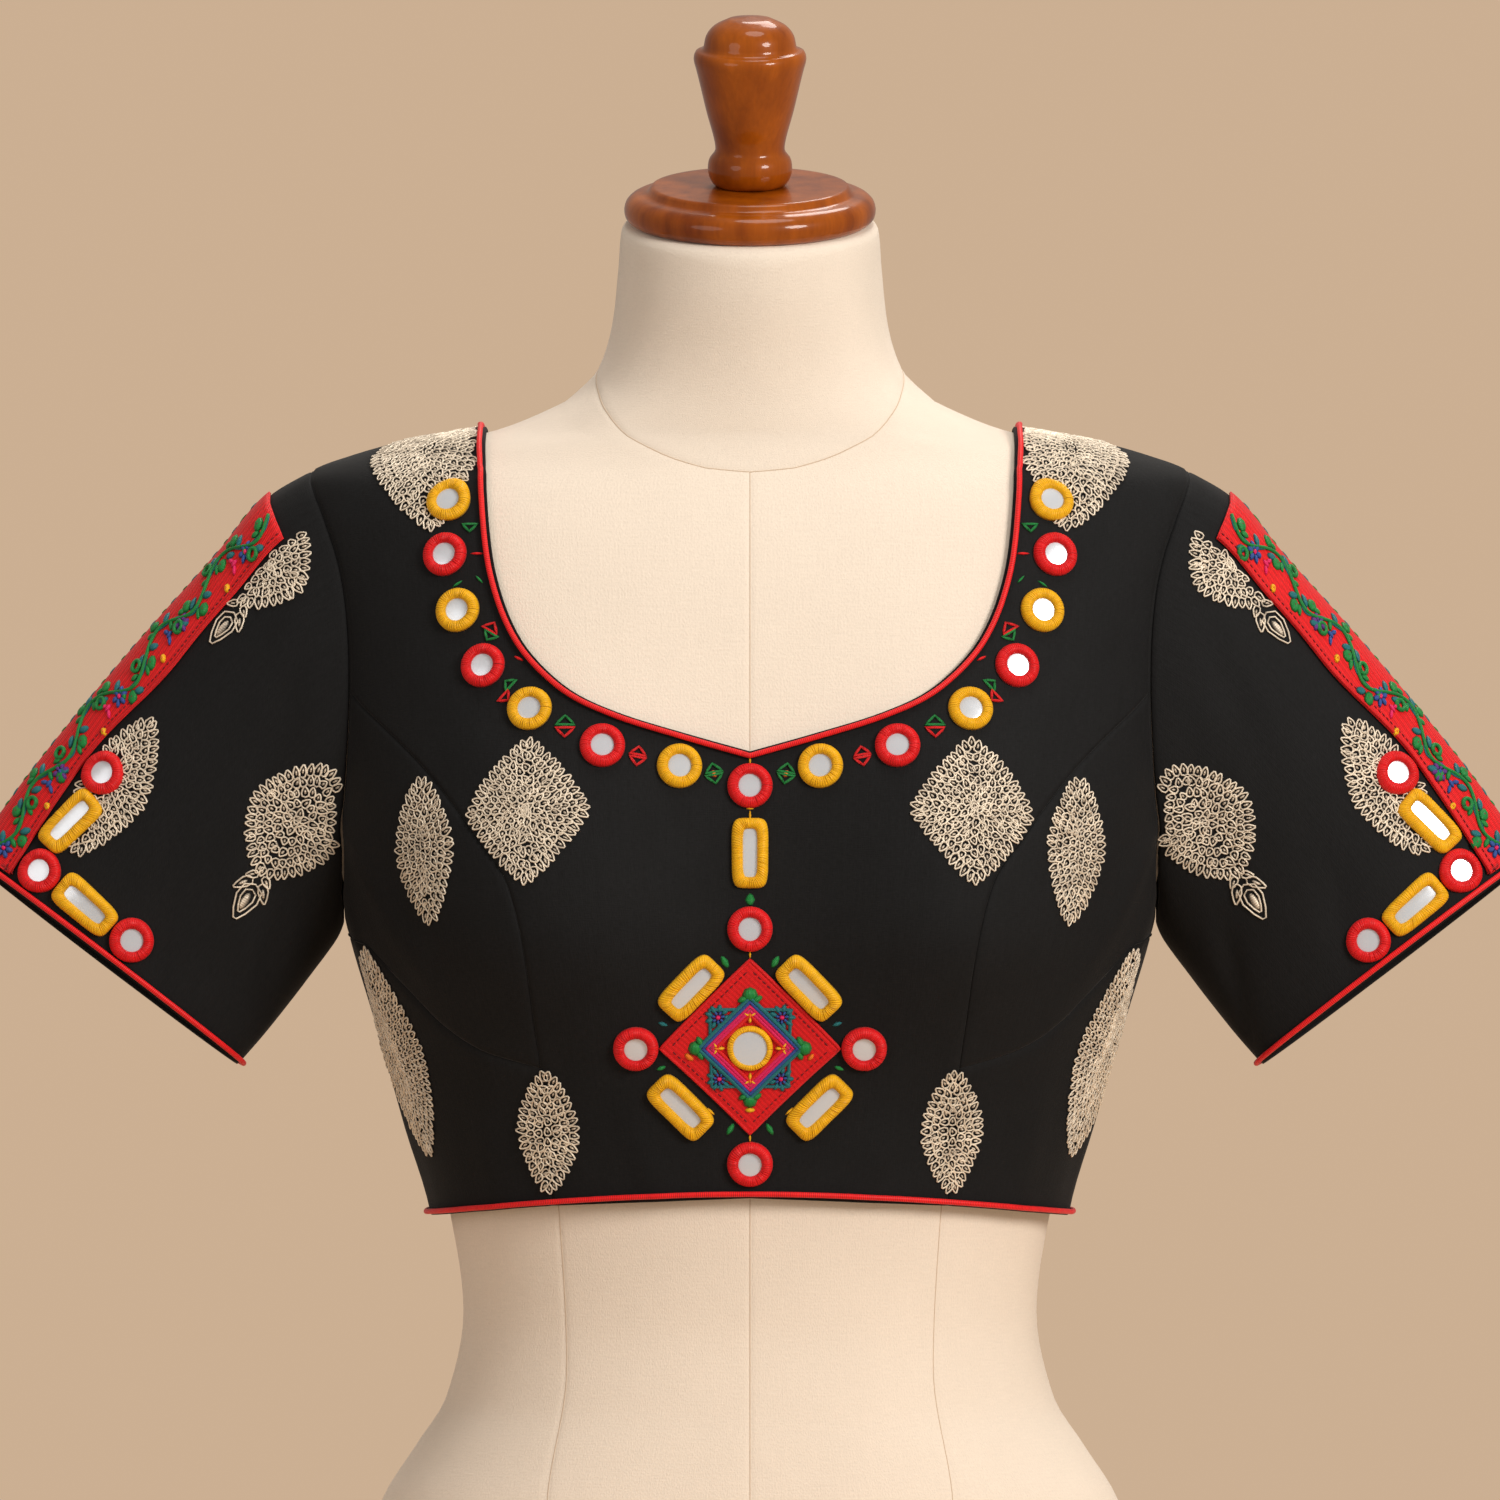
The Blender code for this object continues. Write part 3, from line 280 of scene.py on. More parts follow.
def form_point(turn, run):
    """A point of the form; turn is 0 at the front centre and a quarter turn at the left side. Each level
    section is a superellipse read by its angle, two soft bulges are the cups, and the neck's top is sheared
    forward."""
    turn, run = matched(turn, run)
    half_width, front, back, square, lean, height = section_at(run)
    across, along = oval(turn, square)
    x = half_width * across
    spread = np.where(height > CUP_HEIGHT, CUP_ABOVE, CUP_BELOW)
    cup = np.exp(-((x - CUP_APART) / CUP_WIDE) ** 2 / 2) + np.exp(-((x + CUP_APART) / CUP_WIDE) ** 2 / 2)
    cup *= CUP_FULLNESS * np.exp(-((height - CUP_HEIGHT) / spread) ** 2 / 2)
    y = lean - np.where(along >= 0, front, back) * along - cup * np.sqrt(np.clip(along, 0, 1))
    tilt = ramp(height, NECK_TILT_FROM, NECK_TILT_TO) * math.tan(NECK_TILT)
    return np.stack([x, y, height + (y - lean) * tilt], axis=-1)


def form_normal(turn, run):
    return normal_of(form_point, turn, run, 0.002, 0.2)


def raised(surface, a, b, out):
    """Points out from a surface, and which way is out there."""
    path = surface(a, b, out)
    return path, surface(a, b, out + 1.0) - path


# ---- the cloth's surface

# The body's soft creases, as shallow ridges.
BODY_CREASES = (  # turn (degrees, left positive), height, half width, half length, slant, height of ridge
    (62, 372, 9, 46, 0.55, 1.5), (70, 330, 8, 38, 0.35, 1.1), (52, 268, 10, 34, -0.25, 1.2),
    (36, 430, 12, 40, 0.6, 0.8), (22, 262, 9, 26, 0.15, 0.9), (78, 262, 9, 30, -0.1, 1.1),
    (-59, 366, 10, 50, -0.6, 1.4), (-72, 336, 8, 34, -0.3, 1.2), (-48, 262, 9, 30, 0.3, 1.3),
    (-38, 436, 12, 38, -0.55, 0.8), (-18, 258, 8, 24, -0.2, 0.9), (-82, 270, 10, 34, 0.1, 1),
    (128, 392, 11, 54, -0.5, 1.5), (112, 330, 9, 40, -0.25, 1.2), (150, 290, 10, 44, 0.2, 1.4),
    (168, 262, 9, 30, 0.1, 1), (-132, 386, 11, 50, 0.55, 1.4), (-116, 322, 9, 44, 0.25, 1.3),
    (-146, 286, 10, 40, -0.25, 1.3), (-166, 330, 11, 36, -0.1, 0.9),
)
CREASE_RADIUS = 150.0  # millimetres for each radian of turn

# The sleeves' soft creases, as shallow troughs that slant from the underarm.
SLEEVE_CREASES = {  # round (degrees from the outer line), share, half width round, half length, depth
    1: ((112, 0.3, 9, 0.22, 1.7), (138, 0.55, 8, 0.2, 1.9), (96, 0.8, 8, 0.16, 1.3),
        (74, 0.22, 7, 0.12, 0.9), (160, 0.82, 9, 0.12, 1.2), (-118, 0.34, 9, 0.24, 1.6),
        (-140, 0.62, 8, 0.2, 1.8), (-92, 0.82, 8, 0.15, 1.2)),
    -1: ((108, 0.33, 10, 0.2, 1.5), (134, 0.5, 8, 0.24, 2), (100, 0.86, 7, 0.13, 1.1),
         (80, 0.18, 7, 0.11, 1), (156, 0.76, 9, 0.14, 1.3), (-114, 0.3, 9, 0.22, 1.7),
         (-144, 0.58, 9, 0.22, 1.6), (-96, 0.78, 8, 0.17, 1.3)),
}
CREASE_SLANT = 0.9  # radians that a sleeve's crease turns along it


def sizes():
    return bpy.context.scene.choli_sizes


def body_ridges(turn, height):
    """The sum of the creases: each a bell across times a bell along its slanting line."""
    ridges = np.zeros_like(turn)
    for degrees, middle, wide, long, slant, rise in BODY_CREASES:
        line = math.radians(degrees) + (height - middle) * slant / CREASE_RADIUS
        ridges += rise * bell(wrapped(turn - line) * CREASE_RADIUS / wide) * bell((height - middle) / long)
    return ridges * sizes().crease


def cloth_point(turn, run, out=0.0):
    """A point of the blouse's outer face: the form's, moved along its normal by the ease, the wall, the
    creases and out. A negative turn is on the wearer's right."""
    turn, run = matched(turn, run)
    height = smooth(run, RUNS, HEIGHTS)
    hang = 1 - ramp(height, EASE_FULL, EASE_TOP)
    side = sin(turn) ** 2
    level = np.where(cos(turn) >= 0, EASE_FRONT, EASE_BACK)
    ease = EASE_CLOSE + hang * (side * EASE_SIDE + (1 - side) * level)
    ease = ease + EASE_BLADES * ramp(-cos(turn), 0.0, BLADES_BY) + WALL + body_ridges(turn, height)
    return form_point(turn, run) + form_normal(turn, run) * (ease + out)[..., None]


def on_cloth(line):
    """A line of (turn, run) rows as points of that face."""
    return cloth_point(line[:, 0], line[:, 1])


def turn_at_x(x, run, back=False):
    """The turn where the section at run is x from the centre line."""
    half_width, _, _, square, _, _ = section_at(run)
    across = np.clip(np.abs(x) / half_width, 0, 1)
    turn = np.arctan2(across, (1 - across ** square) ** (1 / square))
    return np.where(back, pi - turn, turn)


def turn_at_y(y, run):
    """The turn where the section's left side is at y."""
    _, front, back, square, _, _ = section_at(run)
    along = np.clip(np.abs(y) / np.where(y < 0, front, back), 0, 1)
    turn = np.arctan2((1 - along ** square) ** (1 / square), along)
    return np.where(y < 0, turn, pi - turn)


def hem_run(turn):
    return run_at(HEM_HEIGHT + HEM_RISE * np.clip(cos(turn), 0, 1) ** 2)


# ---- seam lines, as (turn, run) rows


def read(line, shares):
    """A line of (turn, run) rows read at shares of its length over the cloth."""
    length = lengths(on_cloth(line))
    at = np.asarray(shares) * length[-1]
    return np.column_stack([smooth(at, length, line[:, 0]), smooth(at, length, line[:, 1])])


def join(*lines):
    """Lines end to end, each starting where the last one stopped."""
    return concatenate([lines[0]] + [line[1:] for line in lines[1:]])


def line_from(table, back=False):
    """A table of (x, height) as (turn, run) rows, five for each of its own."""
    row = np.arange(len(table))
    fine = linspace(0, row[-1], row[-1] * 5 + 1)
    x, height = (smooth(fine, row, column) for column in np.array(table, float).T)
    run = run_at(height)
    return np.column_stack([turn_at_x(x, run, back), run])


def armhole(round_by):
    """The armhole's line: 0 at the shoulder point, positive round the front, pi at the underarm."""
    front, up = oval(round_by, ARMHOLE_SQUARE)
    run = run_at(ARMHOLE_CENTRE + ARMHOLE_HALF_HEIGHT * up)
    return np.column_stack([turn_at_y(-ARMHOLE_HALF_DEPTH * front, run), run])


OVER_SHOULDER = FINE_RUNS[FINE_HEIGHTS > 541]
RIDGE_AT_NECK = np.interp(-SHOULDER_NECK, -smooth(OVER_SHOULDER, RUNS, HALF_WIDTHS), OVER_SHOULDER)


def neck_line(table, back=False):
    """A neckline's table, carried on over the shoulder's roundness to the seam on top."""
    line = line_from(table, back)
    run = linspace(line[-1, 1], RIDGE_AT_NECK, 31)[1:]
    return concatenate([line, np.column_stack([turn_at_x(SHOULDER_NECK, run, back), run])])


FRONT_NECK_LINE = neck_line(FRONT_NECKLINE)
BACK_NECK_LINE = neck_line(BACK_NECKLINE, back=True)
PRINCESS_LINE = line_from(PRINCESS_SEAM)
PRINCESS_LINE[0, 1] = hem_run(PRINCESS_LINE[0, 0])
UPPER_ROUND = linspace(0, pi / 2, 91)
MEETING = UPPER_ROUND[np.argmin(np.abs(armhole(UPPER_ROUND)[:, 1] - PRINCESS_LINE[-1, 1]))]
PRINCESS_LINE[-1] = armhole(np.array([MEETING]))[0]
UNDER_BUST_LINE = concatenate([line_from(UNDER_BUST_SEAM), [[pi / 2, run_at(UNDER_BUST_SIDE)]]])
UNDER_BUST_LINE[0, 0] = np.interp(UNDER_BUST_LINE[0, 1], PRINCESS_LINE[:, 1], PRINCESS_LINE[:, 0])


def part_of(line, start_run, end_run):
    """The stretch of a rising line between two runs."""
    inside = line[(line[:, 1] > start_run + 1) & (line[:, 1] < end_run - 1)]
    ends = [[np.interp(run, line[:, 1], line[:, 0]), run] for run in (start_run, end_run)]
    return concatenate([[ends[0]], inside, [ends[1]]])


def upright(turn, start_run, end_run, count=12):
    """A line straight up the body at one turn."""
    return np.column_stack([np.full(count, turn), linspace(start_run, end_run, count)])


# ---- the sleeves' surfaces

SLEEVE = np.array(SLEEVE_SECTIONS).T
SKEW_X, SKEW_Z = 0.61, 0.79


def plain_sleeve(round_by, share):
    """Ovals between the sleeve's upper and lower lines; round_by is 0 on the outer line."""
    top_x, top_z, bottom_x, bottom_z, depth, square = (smooth(share, SLEEVE[0], column)
                                                       for column in SLEEVE[1:])
    front, up = oval(round_by, square)
    skew = -CUFF_SKEW * front * share
    x = (top_x + bottom_x) / 2 + (top_x - bottom_x) / 2 * up + skew * SKEW_X
    z = (top_z + bottom_z) / 2 + (top_z - bottom_z) / 2 * up - skew * SKEW_Z
    return np.stack([x, CUFF_FORWARD * share ** 1.3 - depth * front, z], axis=-1)


def sleeve_base(round_by, share):
    """The plain ovals, drawn at their start onto the armhole's edge."""
    round_by, share = matched(round_by, share)
    edge = on_cloth(armhole(wrapped(round_by.ravel()))).reshape(*round_by.shape, 3)
    start = plain_sleeve(round_by, np.zeros_like(share))
    return plain_sleeve(round_by, share) + (edge - start) * (1 - ramp(share, 0.0, SLEEVE_BLEND))[..., None]


def sleeve_point(side):
    """One sleeve's outer face as a function of (round_by, share, out): the ovals moved out by out and in by
    the creases, and turned over in x for the wearer's right."""
    def point(round_by, share, out=0.0):
        round_by, share = matched(round_by, share)
        crease = np.zeros_like(share)
        for degrees, middle, wide, long, depth in SLEEVE_CREASES[side]:
            slant = math.radians(degrees) + (share - middle) * math.copysign(CREASE_SLANT, degrees)
            away = wrapped(round_by - slant) / math.radians(wide)
            crease += depth * bell(away) * bell((share - middle) / long)
        crease *= ramp(share, 0.02, 0.2) * sizes().crease
        normal = normal_of(sleeve_base, round_by, np.clip(share, 0.004, 0.996), 0.004, 0.004)
        return (sleeve_base(round_by, share) + normal * (out - crease)[..., None]) * (side, 1, 1)
    return point


# How far round the sleeve's ovals even angles lie.
ROUND_ANGLES, ROUND_SHARES = linspace(0, pi, 181), linspace(0, 1, 41)
ARCS = lengths(plain_sleeve(*np.meshgrid(ROUND_ANGLES, ROUND_SHARES)), 1)


def sleeve_round(arc, share):
    """The round_by that is arc millimetres from the outer line, at shares of the length."""
    arc, share = matched(arc, share)
    place = np.clip(share, 0, 1) * (len(ARCS) - 1)
    row = np.clip(place.astype(int), 0, len(ARCS) - 2)
    flat = [np.interp(abs(a), ARCS[r] * (1 - m) + ARCS[r + 1] * m, ROUND_ANGLES)
            for a, r, m in zip(arc.ravel(), row.ravel(), (place - row).ravel())]
    return np.array(flat).reshape(arc.shape) * np.sign(arc)


def cuff_share(round_by, up):
    """The share of the sleeve that is up millimetres from the cuff's edge."""
    reach = sleeve_base(round_by, 1.0) - sleeve_base(round_by, 0.9)
    return 1 - 0.1 * up / norm(reach, axis=-1)


# ---- making meshes

WELD = 0.00002  # metres between points that are merged


class Patch:
    """Points, faces, and a thread coordinate for each point, in millimetres."""

    def __init__(self, points, faces, threads, finish=0):
        self.points = np.asarray(points, float).reshape(-1, 3)
        self.faces = [np.asarray(part, int) for part in faces]
        self.threads = np.asarray(threads, float).reshape(-1, 2)
        self.finish = finish


def grid_faces(rows, columns, closed=False, start=0):
    """Quads of a grid of points; closed joins the last column to the first."""
    row = np.arange(rows - 1)[:, None] * columns
    column = np.arange(columns if closed else columns - 1)[None, :]
    after = (column + 1) % columns
    quads = np.stack([row + column, row + after, row + columns + after, row + columns + column], axis=-1)
    return quads.reshape(-1, 4) + start


def fan(count, middle, start=0):
    """Triangles from a middle point to a ring of points."""
    rim = np.arange(count)
    return np.stack([np.full(count, middle), start + rim, start + (rim + 1) % count], axis=-1)


def grid_patch(points, threads, closed=False, flip=False):
    quads = grid_faces(*points.shape[:2], closed)
    return Patch(points, [quads[:, ::-1] if flip else quads], threads)


def add_piece(name, patches, materials, replaces=(), weld=False):
    """One object from patches, riding on the root body."""
    points = concatenate([patch.points for patch in patches]) * MM
    threads = concatenate([patch.threads for patch in patches])
    start, corners, counts, finishes = 0, [], [], []
    for patch in patches:
        for part in patch.faces:
            corners.append(part.ravel() + start)
            counts.append(np.full(len(part), part.shape[1]))
            finishes.append(np.full(len(part), patch.finish))
        start += len(patch.points)
    corners, counts = concatenate(corners), concatenate(counts)
    mesh = bpy.data.meshes.new(name)
    mesh.vertices.add(len(points))
    mesh.vertices.foreach_set("co", points.astype(np.float32).ravel())
    mesh.loops.add(len(corners))
    mesh.loops.foreach_set("vertex_index", corners.astype(np.int32))
    mesh.polygons.add(len(counts))
    mesh.polygons.foreach_set("loop_start", concatenate([[0], np.cumsum(counts)[:-1]]).astype(np.int32))
    mesh.update(calc_edges=True)
    layer = mesh.uv_layers.new(name="Threads")
    layer.data.foreach_set("uv", threads[corners].astype(np.float32).ravel())
    for material in materials:
        mesh.materials.append(material)
    mesh.polygons.foreach_set("material_index", concatenate(finishes).astype(np.int32))
    mesh.polygons.foreach_set("use_smooth", np.ones(len(counts), bool))
    mesh.validate()
    if weld:
        loose = bmesh.new()
        loose.from_mesh(mesh)
        bmesh.ops.remove_doubles(loose, verts=loose.verts, dist=WELD)
        loose.to_mesh(mesh)
        loose.free()
    piece = bpy.data.objects.new(name, mesh)
    bpy.context.scene.collection.objects.link(piece)
    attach(piece, "root")
    if replaces:
        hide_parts(*replaces)
    return piece


def add_shell(name, patches, material, thickness, replaces, weld=False):
    """A thin shell: the patches are its outer face, and Solidify adds the inner one."""
    piece = add_piece(name, patches, [material], replaces, weld)
    wall = piece.modifiers.new("wall", "SOLIDIFY")
    wall.thickness = thickness * MM
    wall.offset = -1.0
    return piece


# ---- laying things on a surface

CHART_STEP = 0.002  # how far a and b move to find a surface's slopes
WALK_STEPS, WALK_COUNT = 10, 19


def axes_at(surface, place):
    """At a place of a surface: two square directions in it, and how far a and b go along both."""
    along_a, along_b = slopes(surface, *place, CHART_STEP, CHART_STEP)
    e1 = along_a / norm(along_a)
    e2 = along_b - e1 * (along_b @ e1)
    e2 /= norm(e2)
    return e1, e2, np.array([[along_a @ e1, along_b @ e1], [along_a @ e2, along_b @ e2]])


def chart(surface, place):
    """A function from millimetres sideways and along from a place to the surface's own (a, b), by its
    slopes there. A place may be such a function already."""
    if callable(place):
        return place
    steps = np.linalg.inv(axes_at(surface, place)[2])

    def at(u, v):
        return place[0] + steps[0, 0] * u + steps[0, 1] * v, place[1] + steps[1, 0] * u + steps[1, 1] * v
    return at


def walked_chart(surface, place, reach):
    """A chart for larger things on bent cloth. Each point of a square net is reached by walking straight
    over the surface in small steps, each keeping the part of the aim that lies in the surface; between the
    points, a and b are mixed evenly."""
    e1, e2, _ = axes_at(surface, place)
    line = linspace(-reach, reach, WALK_COUNT)
    u, v = (part.ravel() for part in np.meshgrid(line, line, indexing="ij"))
    far = np.hypot(u, v)[:, None]
    aim = (u[:, None] * e1 + v[:, None] * e2) / np.maximum(far, 1e-6)
    a, b = np.full(u.shape, float(place[0])), np.full(u.shape, float(place[1]))
    for _ in range(WALK_STEPS):
        along_a, along_b = slopes(surface, a, b, CHART_STEP, CHART_STEP)
        move = aim * far / WALK_STEPS
        aa, ab, bb, ma, mb = ((first * second).sum(axis=1) for first, second in (
            (along_a, along_a), (along_a, along_b), (along_b, along_b), (along_a, move), (along_b, move)))
        share = aa * bb - ab ** 2
        step_a, step_b = (bb * ma - ab * mb) / share, (aa * mb - ab * ma) / share
        a, b = a + step_a, b + step_b
        ahead = along_a * step_a[:, None] + along_b * step_b[:, None]
        long = norm(ahead, axis=1, keepdims=True)
        aim = np.where(long > 1e-9, ahead / np.maximum(long, 1e-9), aim)
    nets = a.reshape(WALK_COUNT, WALK_COUNT), b.reshape(WALK_COUNT, WALK_COUNT)

    def at(u, v):
        across, up = (np.clip((part + reach) / (2 * reach), 0, 1) * (WALK_COUNT - 1) for part in (u, v))
        i, j = (np.minimum(part.astype(int), WALK_COUNT - 2) for part in (across, up))
        p, q = across - i, up - j
        return tuple((net[i, j] * (1 - p) + net[i + 1, j] * p) * (1 - q)
                     + (net[i, j + 1] * (1 - p) + net[i + 1, j + 1] * p) * q for net in nets)
    return at


def lay(surface, place, u, v, out):
    """Points u sideways, v along and out from a place of a surface, in millimetres."""
    u, v = matched(u, v)
    a, b = chart(surface, place)(u.ravel(), v.ravel())
    return surface(a, b, np.broadcast_to(out, u.shape).ravel()).reshape(*u.shape, 3)


def heading(surface, place, degrees, reach):
    """The angle in a chart of a line, reach long, that the front view shows at degrees from straight up,
    positive towards the wearer's left."""
    angle = linspace(-pi, pi, 721)
    ends = lay(surface, place, reach * cos(angle), reach * sin(angle), 0.0)
    ends = ends - lay(surface, place, np.zeros(1), np.zeros(1), 0.0)
    off = np.abs(wrapped(np.arctan2(ends[:, 0], ends[:, 2]) - math.radians(degrees)))
    return float(angle[np.argmin(off)])


def turned(u, v, angle):
    return u * cos(angle) - v * sin(angle), u * sin(angle) + v * cos(angle)


def unit(vectors):
    return vectors / np.maximum(norm(vectors, axis=-1, keepdims=True), 1e-9)


def cord_patch(path, normals, radius, closed=True, sides=4, finish=0, twist=1.0):
    """Round cords along paths of the shape (cords, points, 3). Each ring of points lies in the plane of the
    surface's normal and of the path's direction crossed with it."""
    count, points = path.shape[:2]
    ahead = np.roll(path, -1, axis=1) - np.roll(path, 1, axis=1)
    if not closed:
        ahead[:, 0] = path[:, 1] - path[:, 0]
        ahead[:, -1] = path[:, -1] - path[:, -2]
    ahead = unit(ahead)
    aside = unit(np.cross(ahead, normals))
    up = np.cross(aside, ahead)
    angle = circle(sides)
    rings = path[:, :, None] + radius * (aside[:, :, None] * cos(angle)[:, None]
                                         + up[:, :, None] * sin(angle)[:, None])
    threads = np.stack(matched(lengths(path, 1)[..., None] + angle * twist, angle), axis=-1)
    one = grid_faces(points, sides, closed=True)
    if closed:
        side, after = np.arange(sides), np.roll(np.arange(sides), -1)
        last = (points - 1) * sides
        one = concatenate([one, np.stack([last + side, last + after, after, side], axis=-1)])
    base = np.arange(count)[:, None] * points * sides
    faces = [(one[None] + base[..., None]).reshape(-1, 4)[:, ::-1]]
    if not closed:
        first = base + np.arange(sides)[None, :]
        faces.append(concatenate([first, first[:, ::-1] + (points - 1) * sides]))
    return Patch(rings, faces, threads, finish)


def cords_on(surface, place, u, v, out, radius, **options):
    """Cords whose paths, of the shape (cords, points), are in millimetres on a surface."""
    path = lay(surface, place, u, v, out)
    return cord_patch(path, lay(surface, place, u, v, np.asarray(out) + 1.0) - path, radius, **options)


PETAL_RIM = 8  # points round a petal's rim
PETAL_RINGS, PETAL_HEIGHTS = np.array([0.0, 1.0, 0.6, 0.0]), np.array([0.0, 0.05, 0.8, 1.0])


def petals_on(surface, place, u, v, angle, length, width, rise, seat, finish=0, point=0.5, side=1):
    """Satin-stitched petals; each measure is an array, or one number for all. A petal's outline is an
    ellipse whose ends are drawn to points; it rises from its rim, through a ring at three fifths, to its
    middle, and a fan closes it below."""
    u, v, angle, length, width, rise = (part.reshape(-1, 1, 1)
                                        for part in matched(u, v, angle, length, width, rise))
    count = len(u)
    turn = circle(PETAL_RIM)
    along = PETAL_RINGS[:, None] * cos(turn) / 2 * length
    across = PETAL_RINGS[:, None] * (sin(turn) / 2 * np.abs(sin(turn)) ** point) * width
    shift_u, shift_v = turned(along, across, angle)
    points = lay(surface, place, u + shift_u, v + shift_v,
                 np.broadcast_to(seat + PETAL_HEIGHTS[:, None] * rise, along.shape))
    keep = concatenate([[0], np.arange(PETAL_RIM, 3 * PETAL_RIM), [3 * PETAL_RIM]])
    points = points.reshape(count, -1, 3)[:, keep]
    threads = np.stack([along, across], axis=-1).reshape(count, -1, 2)[:, keep]
    top = fan(PETAL_RIM, 1 + 2 * PETAL_RIM, 1 + PETAL_RIM)
    one = concatenate([fan(PETAL_RIM, 0, 1)[:, [0, 2, 1]], top[:, [1, 2, 0]]])
    base = (np.arange(count) * points.shape[1])[:, None, None]
    tris = (one[None] + base).reshape(-1, 3)
    quads = (grid_faces(2, PETAL_RIM, closed=True, start=1)[None] + base).reshape(-1, 4)
    if side < 0:
        tris, quads = tris[:, ::-1], quads[:, ::-1]
    return Patch(points, [quads, tris], threads, finish)


BAR_SQUARE = 5.0


def outline(kind, angle):
    """A padded mirror's outline: a circle, or a rectangle with round corners read at even steps."""
    if kind == "ring":
        return RING_RADIUS * cos(angle), RING_RADIUS * sin(angle)
    v, u = oval(linspace(0, 2 * pi, 721), BAR_SQUARE)
    u, v = BAR_HALF_LENGTH * u, BAR_HALF_WIDTH * v
    length = lengths(np.column_stack([u, v]))
    at = angle / (2 * pi) * length[-1]
    return np.interp(at, length, u), np.interp(at, length, v)


def rimmed(surface, place, kind, slope, inset, height, columns, perimeter, ripple=0.0, side=1):
    """Rows of points in from a padded mirror's outline, each at its own height, closed in the middle above
    and below. Ripple is the height of the wrapped threads."""
    angle = circle(columns)
    edge_u, edge_v = outline(kind, angle)
    half_u, half_v = (RING_RADIUS, RING_RADIUS) if kind == "ring" else (BAR_HALF_LENGTH, BAR_HALF_WIDTH)
    inset, height = np.asarray(inset)[:, None], np.asarray(height)[:, None]
    rows = len(inset)

    def with_middles(grid, first=0.0, last=0.0):
        return concatenate([[first], np.broadcast_to(grid, (rows, columns)).ravel(), [last]])

    u, v = turned(*(with_middles(edge * (1 - inset / half))
                    for edge, half in ((edge_u, half_u), (edge_v, half_v))), slope)
    out = with_middles(height + ripple, height[0, 0], height[-1, 0])
    points = lay(surface, place, u, v, out)
    quads = grid_faces(rows, columns, closed=True, start=1)
    tris = concatenate([fan(columns, 0, 1)[:, [0, 2, 1]],
                           fan(columns, len(points) - 1, 1 + (rows - 1) * columns)])
    threads = np.stack([with_middles(angle / (2 * pi) * perimeter), with_middles(inset)], axis=-1)
    if side < 0:
        quads, tris = quads[:, ::-1], tris[:, ::-1]
    return Patch(points, [quads, tris], threads)


# ---- materials


class Nodes:
    """One material's nodes. Each call adds a node, links or sets its inputs and gives its output."""

    def __init__(self, name):
        self.material = bpy.data.materials.new(name)
        self.material.use_nodes = True
        self.tree = self.material.node_tree

    def put(self, node, inputs):
        for label, value in inputs.items():
            socket = node.inputs[label]
            if isinstance(value, bpy.types.NodeSocket):
                self.tree.links.new(value, socket)
            else:
                socket.default_value = value

    def add(self, kind, inputs, output=0, **settings):
        node = self.tree.nodes.new("ShaderNode" + kind)
        for label, value in settings.items():
            setattr(node, label, value)
        self.put(node, inputs)
        return node.outputs[output]

    def finish(self, **inputs):
        """Sets the shader's own sockets, and gives the material."""
        self.put(self.tree.nodes["Principled BSDF"],
                 {label.replace("_", " "): value for label, value in inputs.items()})
        return self.material

    def math(self, operation, *values, clamp=False):
        return self.add("Math", dict(enumerate(values)), operation=operation, use_clamp=clamp)

    def times(self, first, *others):
        for other in others:
            first = self.math("MULTIPLY", first, other)
        return first

    def plus(self, first, second, share=1.0):
        """The sum of the first and of a share of the second."""
        return self.math("ADD", first, second if share == 1 else self.times(second, share))

    def threads(self):
        """The piece's own thread coordinates, in millimetres."""
        parts = self.add("SeparateXYZ", {0: self.add("UVMap", {}, uv_map="Threads")}).node.outputs
        self.place = parts[0], parts[1]
        return self.place

    def noise(self, vector, scale=1.0, detail=3.0):
        return self.add("TexNoise", {"Vector": vector, "Scale": scale, "Detail": detail})

    def grain(self, fine_x, fine_y, z=0.0, **options):
        """Noise over the thread coordinates, each stretched by its own number."""
        x, y = (part if fine == 1 else self.times(part, fine)
                for part, fine in zip(self.place, (fine_x, fine_y)))
        return self.noise(self.add("CombineXYZ", {"X": x, "Y": y, "Z": z}), **options)

    def object_noise(self, stretch, **options):
        """Noise over stretched Object coordinates."""
        place = self.add("TexCoord", {}, output=3)
        return self.noise(self.add("Mapping", {"Vector": place, "Scale": stretch}), **options)

    def wave(self, value, pitch):
        """A wave from 0 to 1 with that pitch."""
        return self.math("MULTIPLY_ADD", self.math("SINE", self.times(value, 2 * pi / pitch)), 0.5, 0.5)

    def spread(self, value, low, high):
        """0 to 1 turned into low to high."""
        return self.math("MULTIPLY_ADD", value, high - low, low)

    def scaled(self, colour, amount):
        first = colour if isinstance(colour, bpy.types.NodeSocket) else tuple(colour)
        return self.add("VectorMath", {0: first, "Scale": amount}, operation="SCALE")

    def bump(self, height, distance):
        return self.add("Bump", {"Height": height, "Distance": distance, "Strength": 1.0})


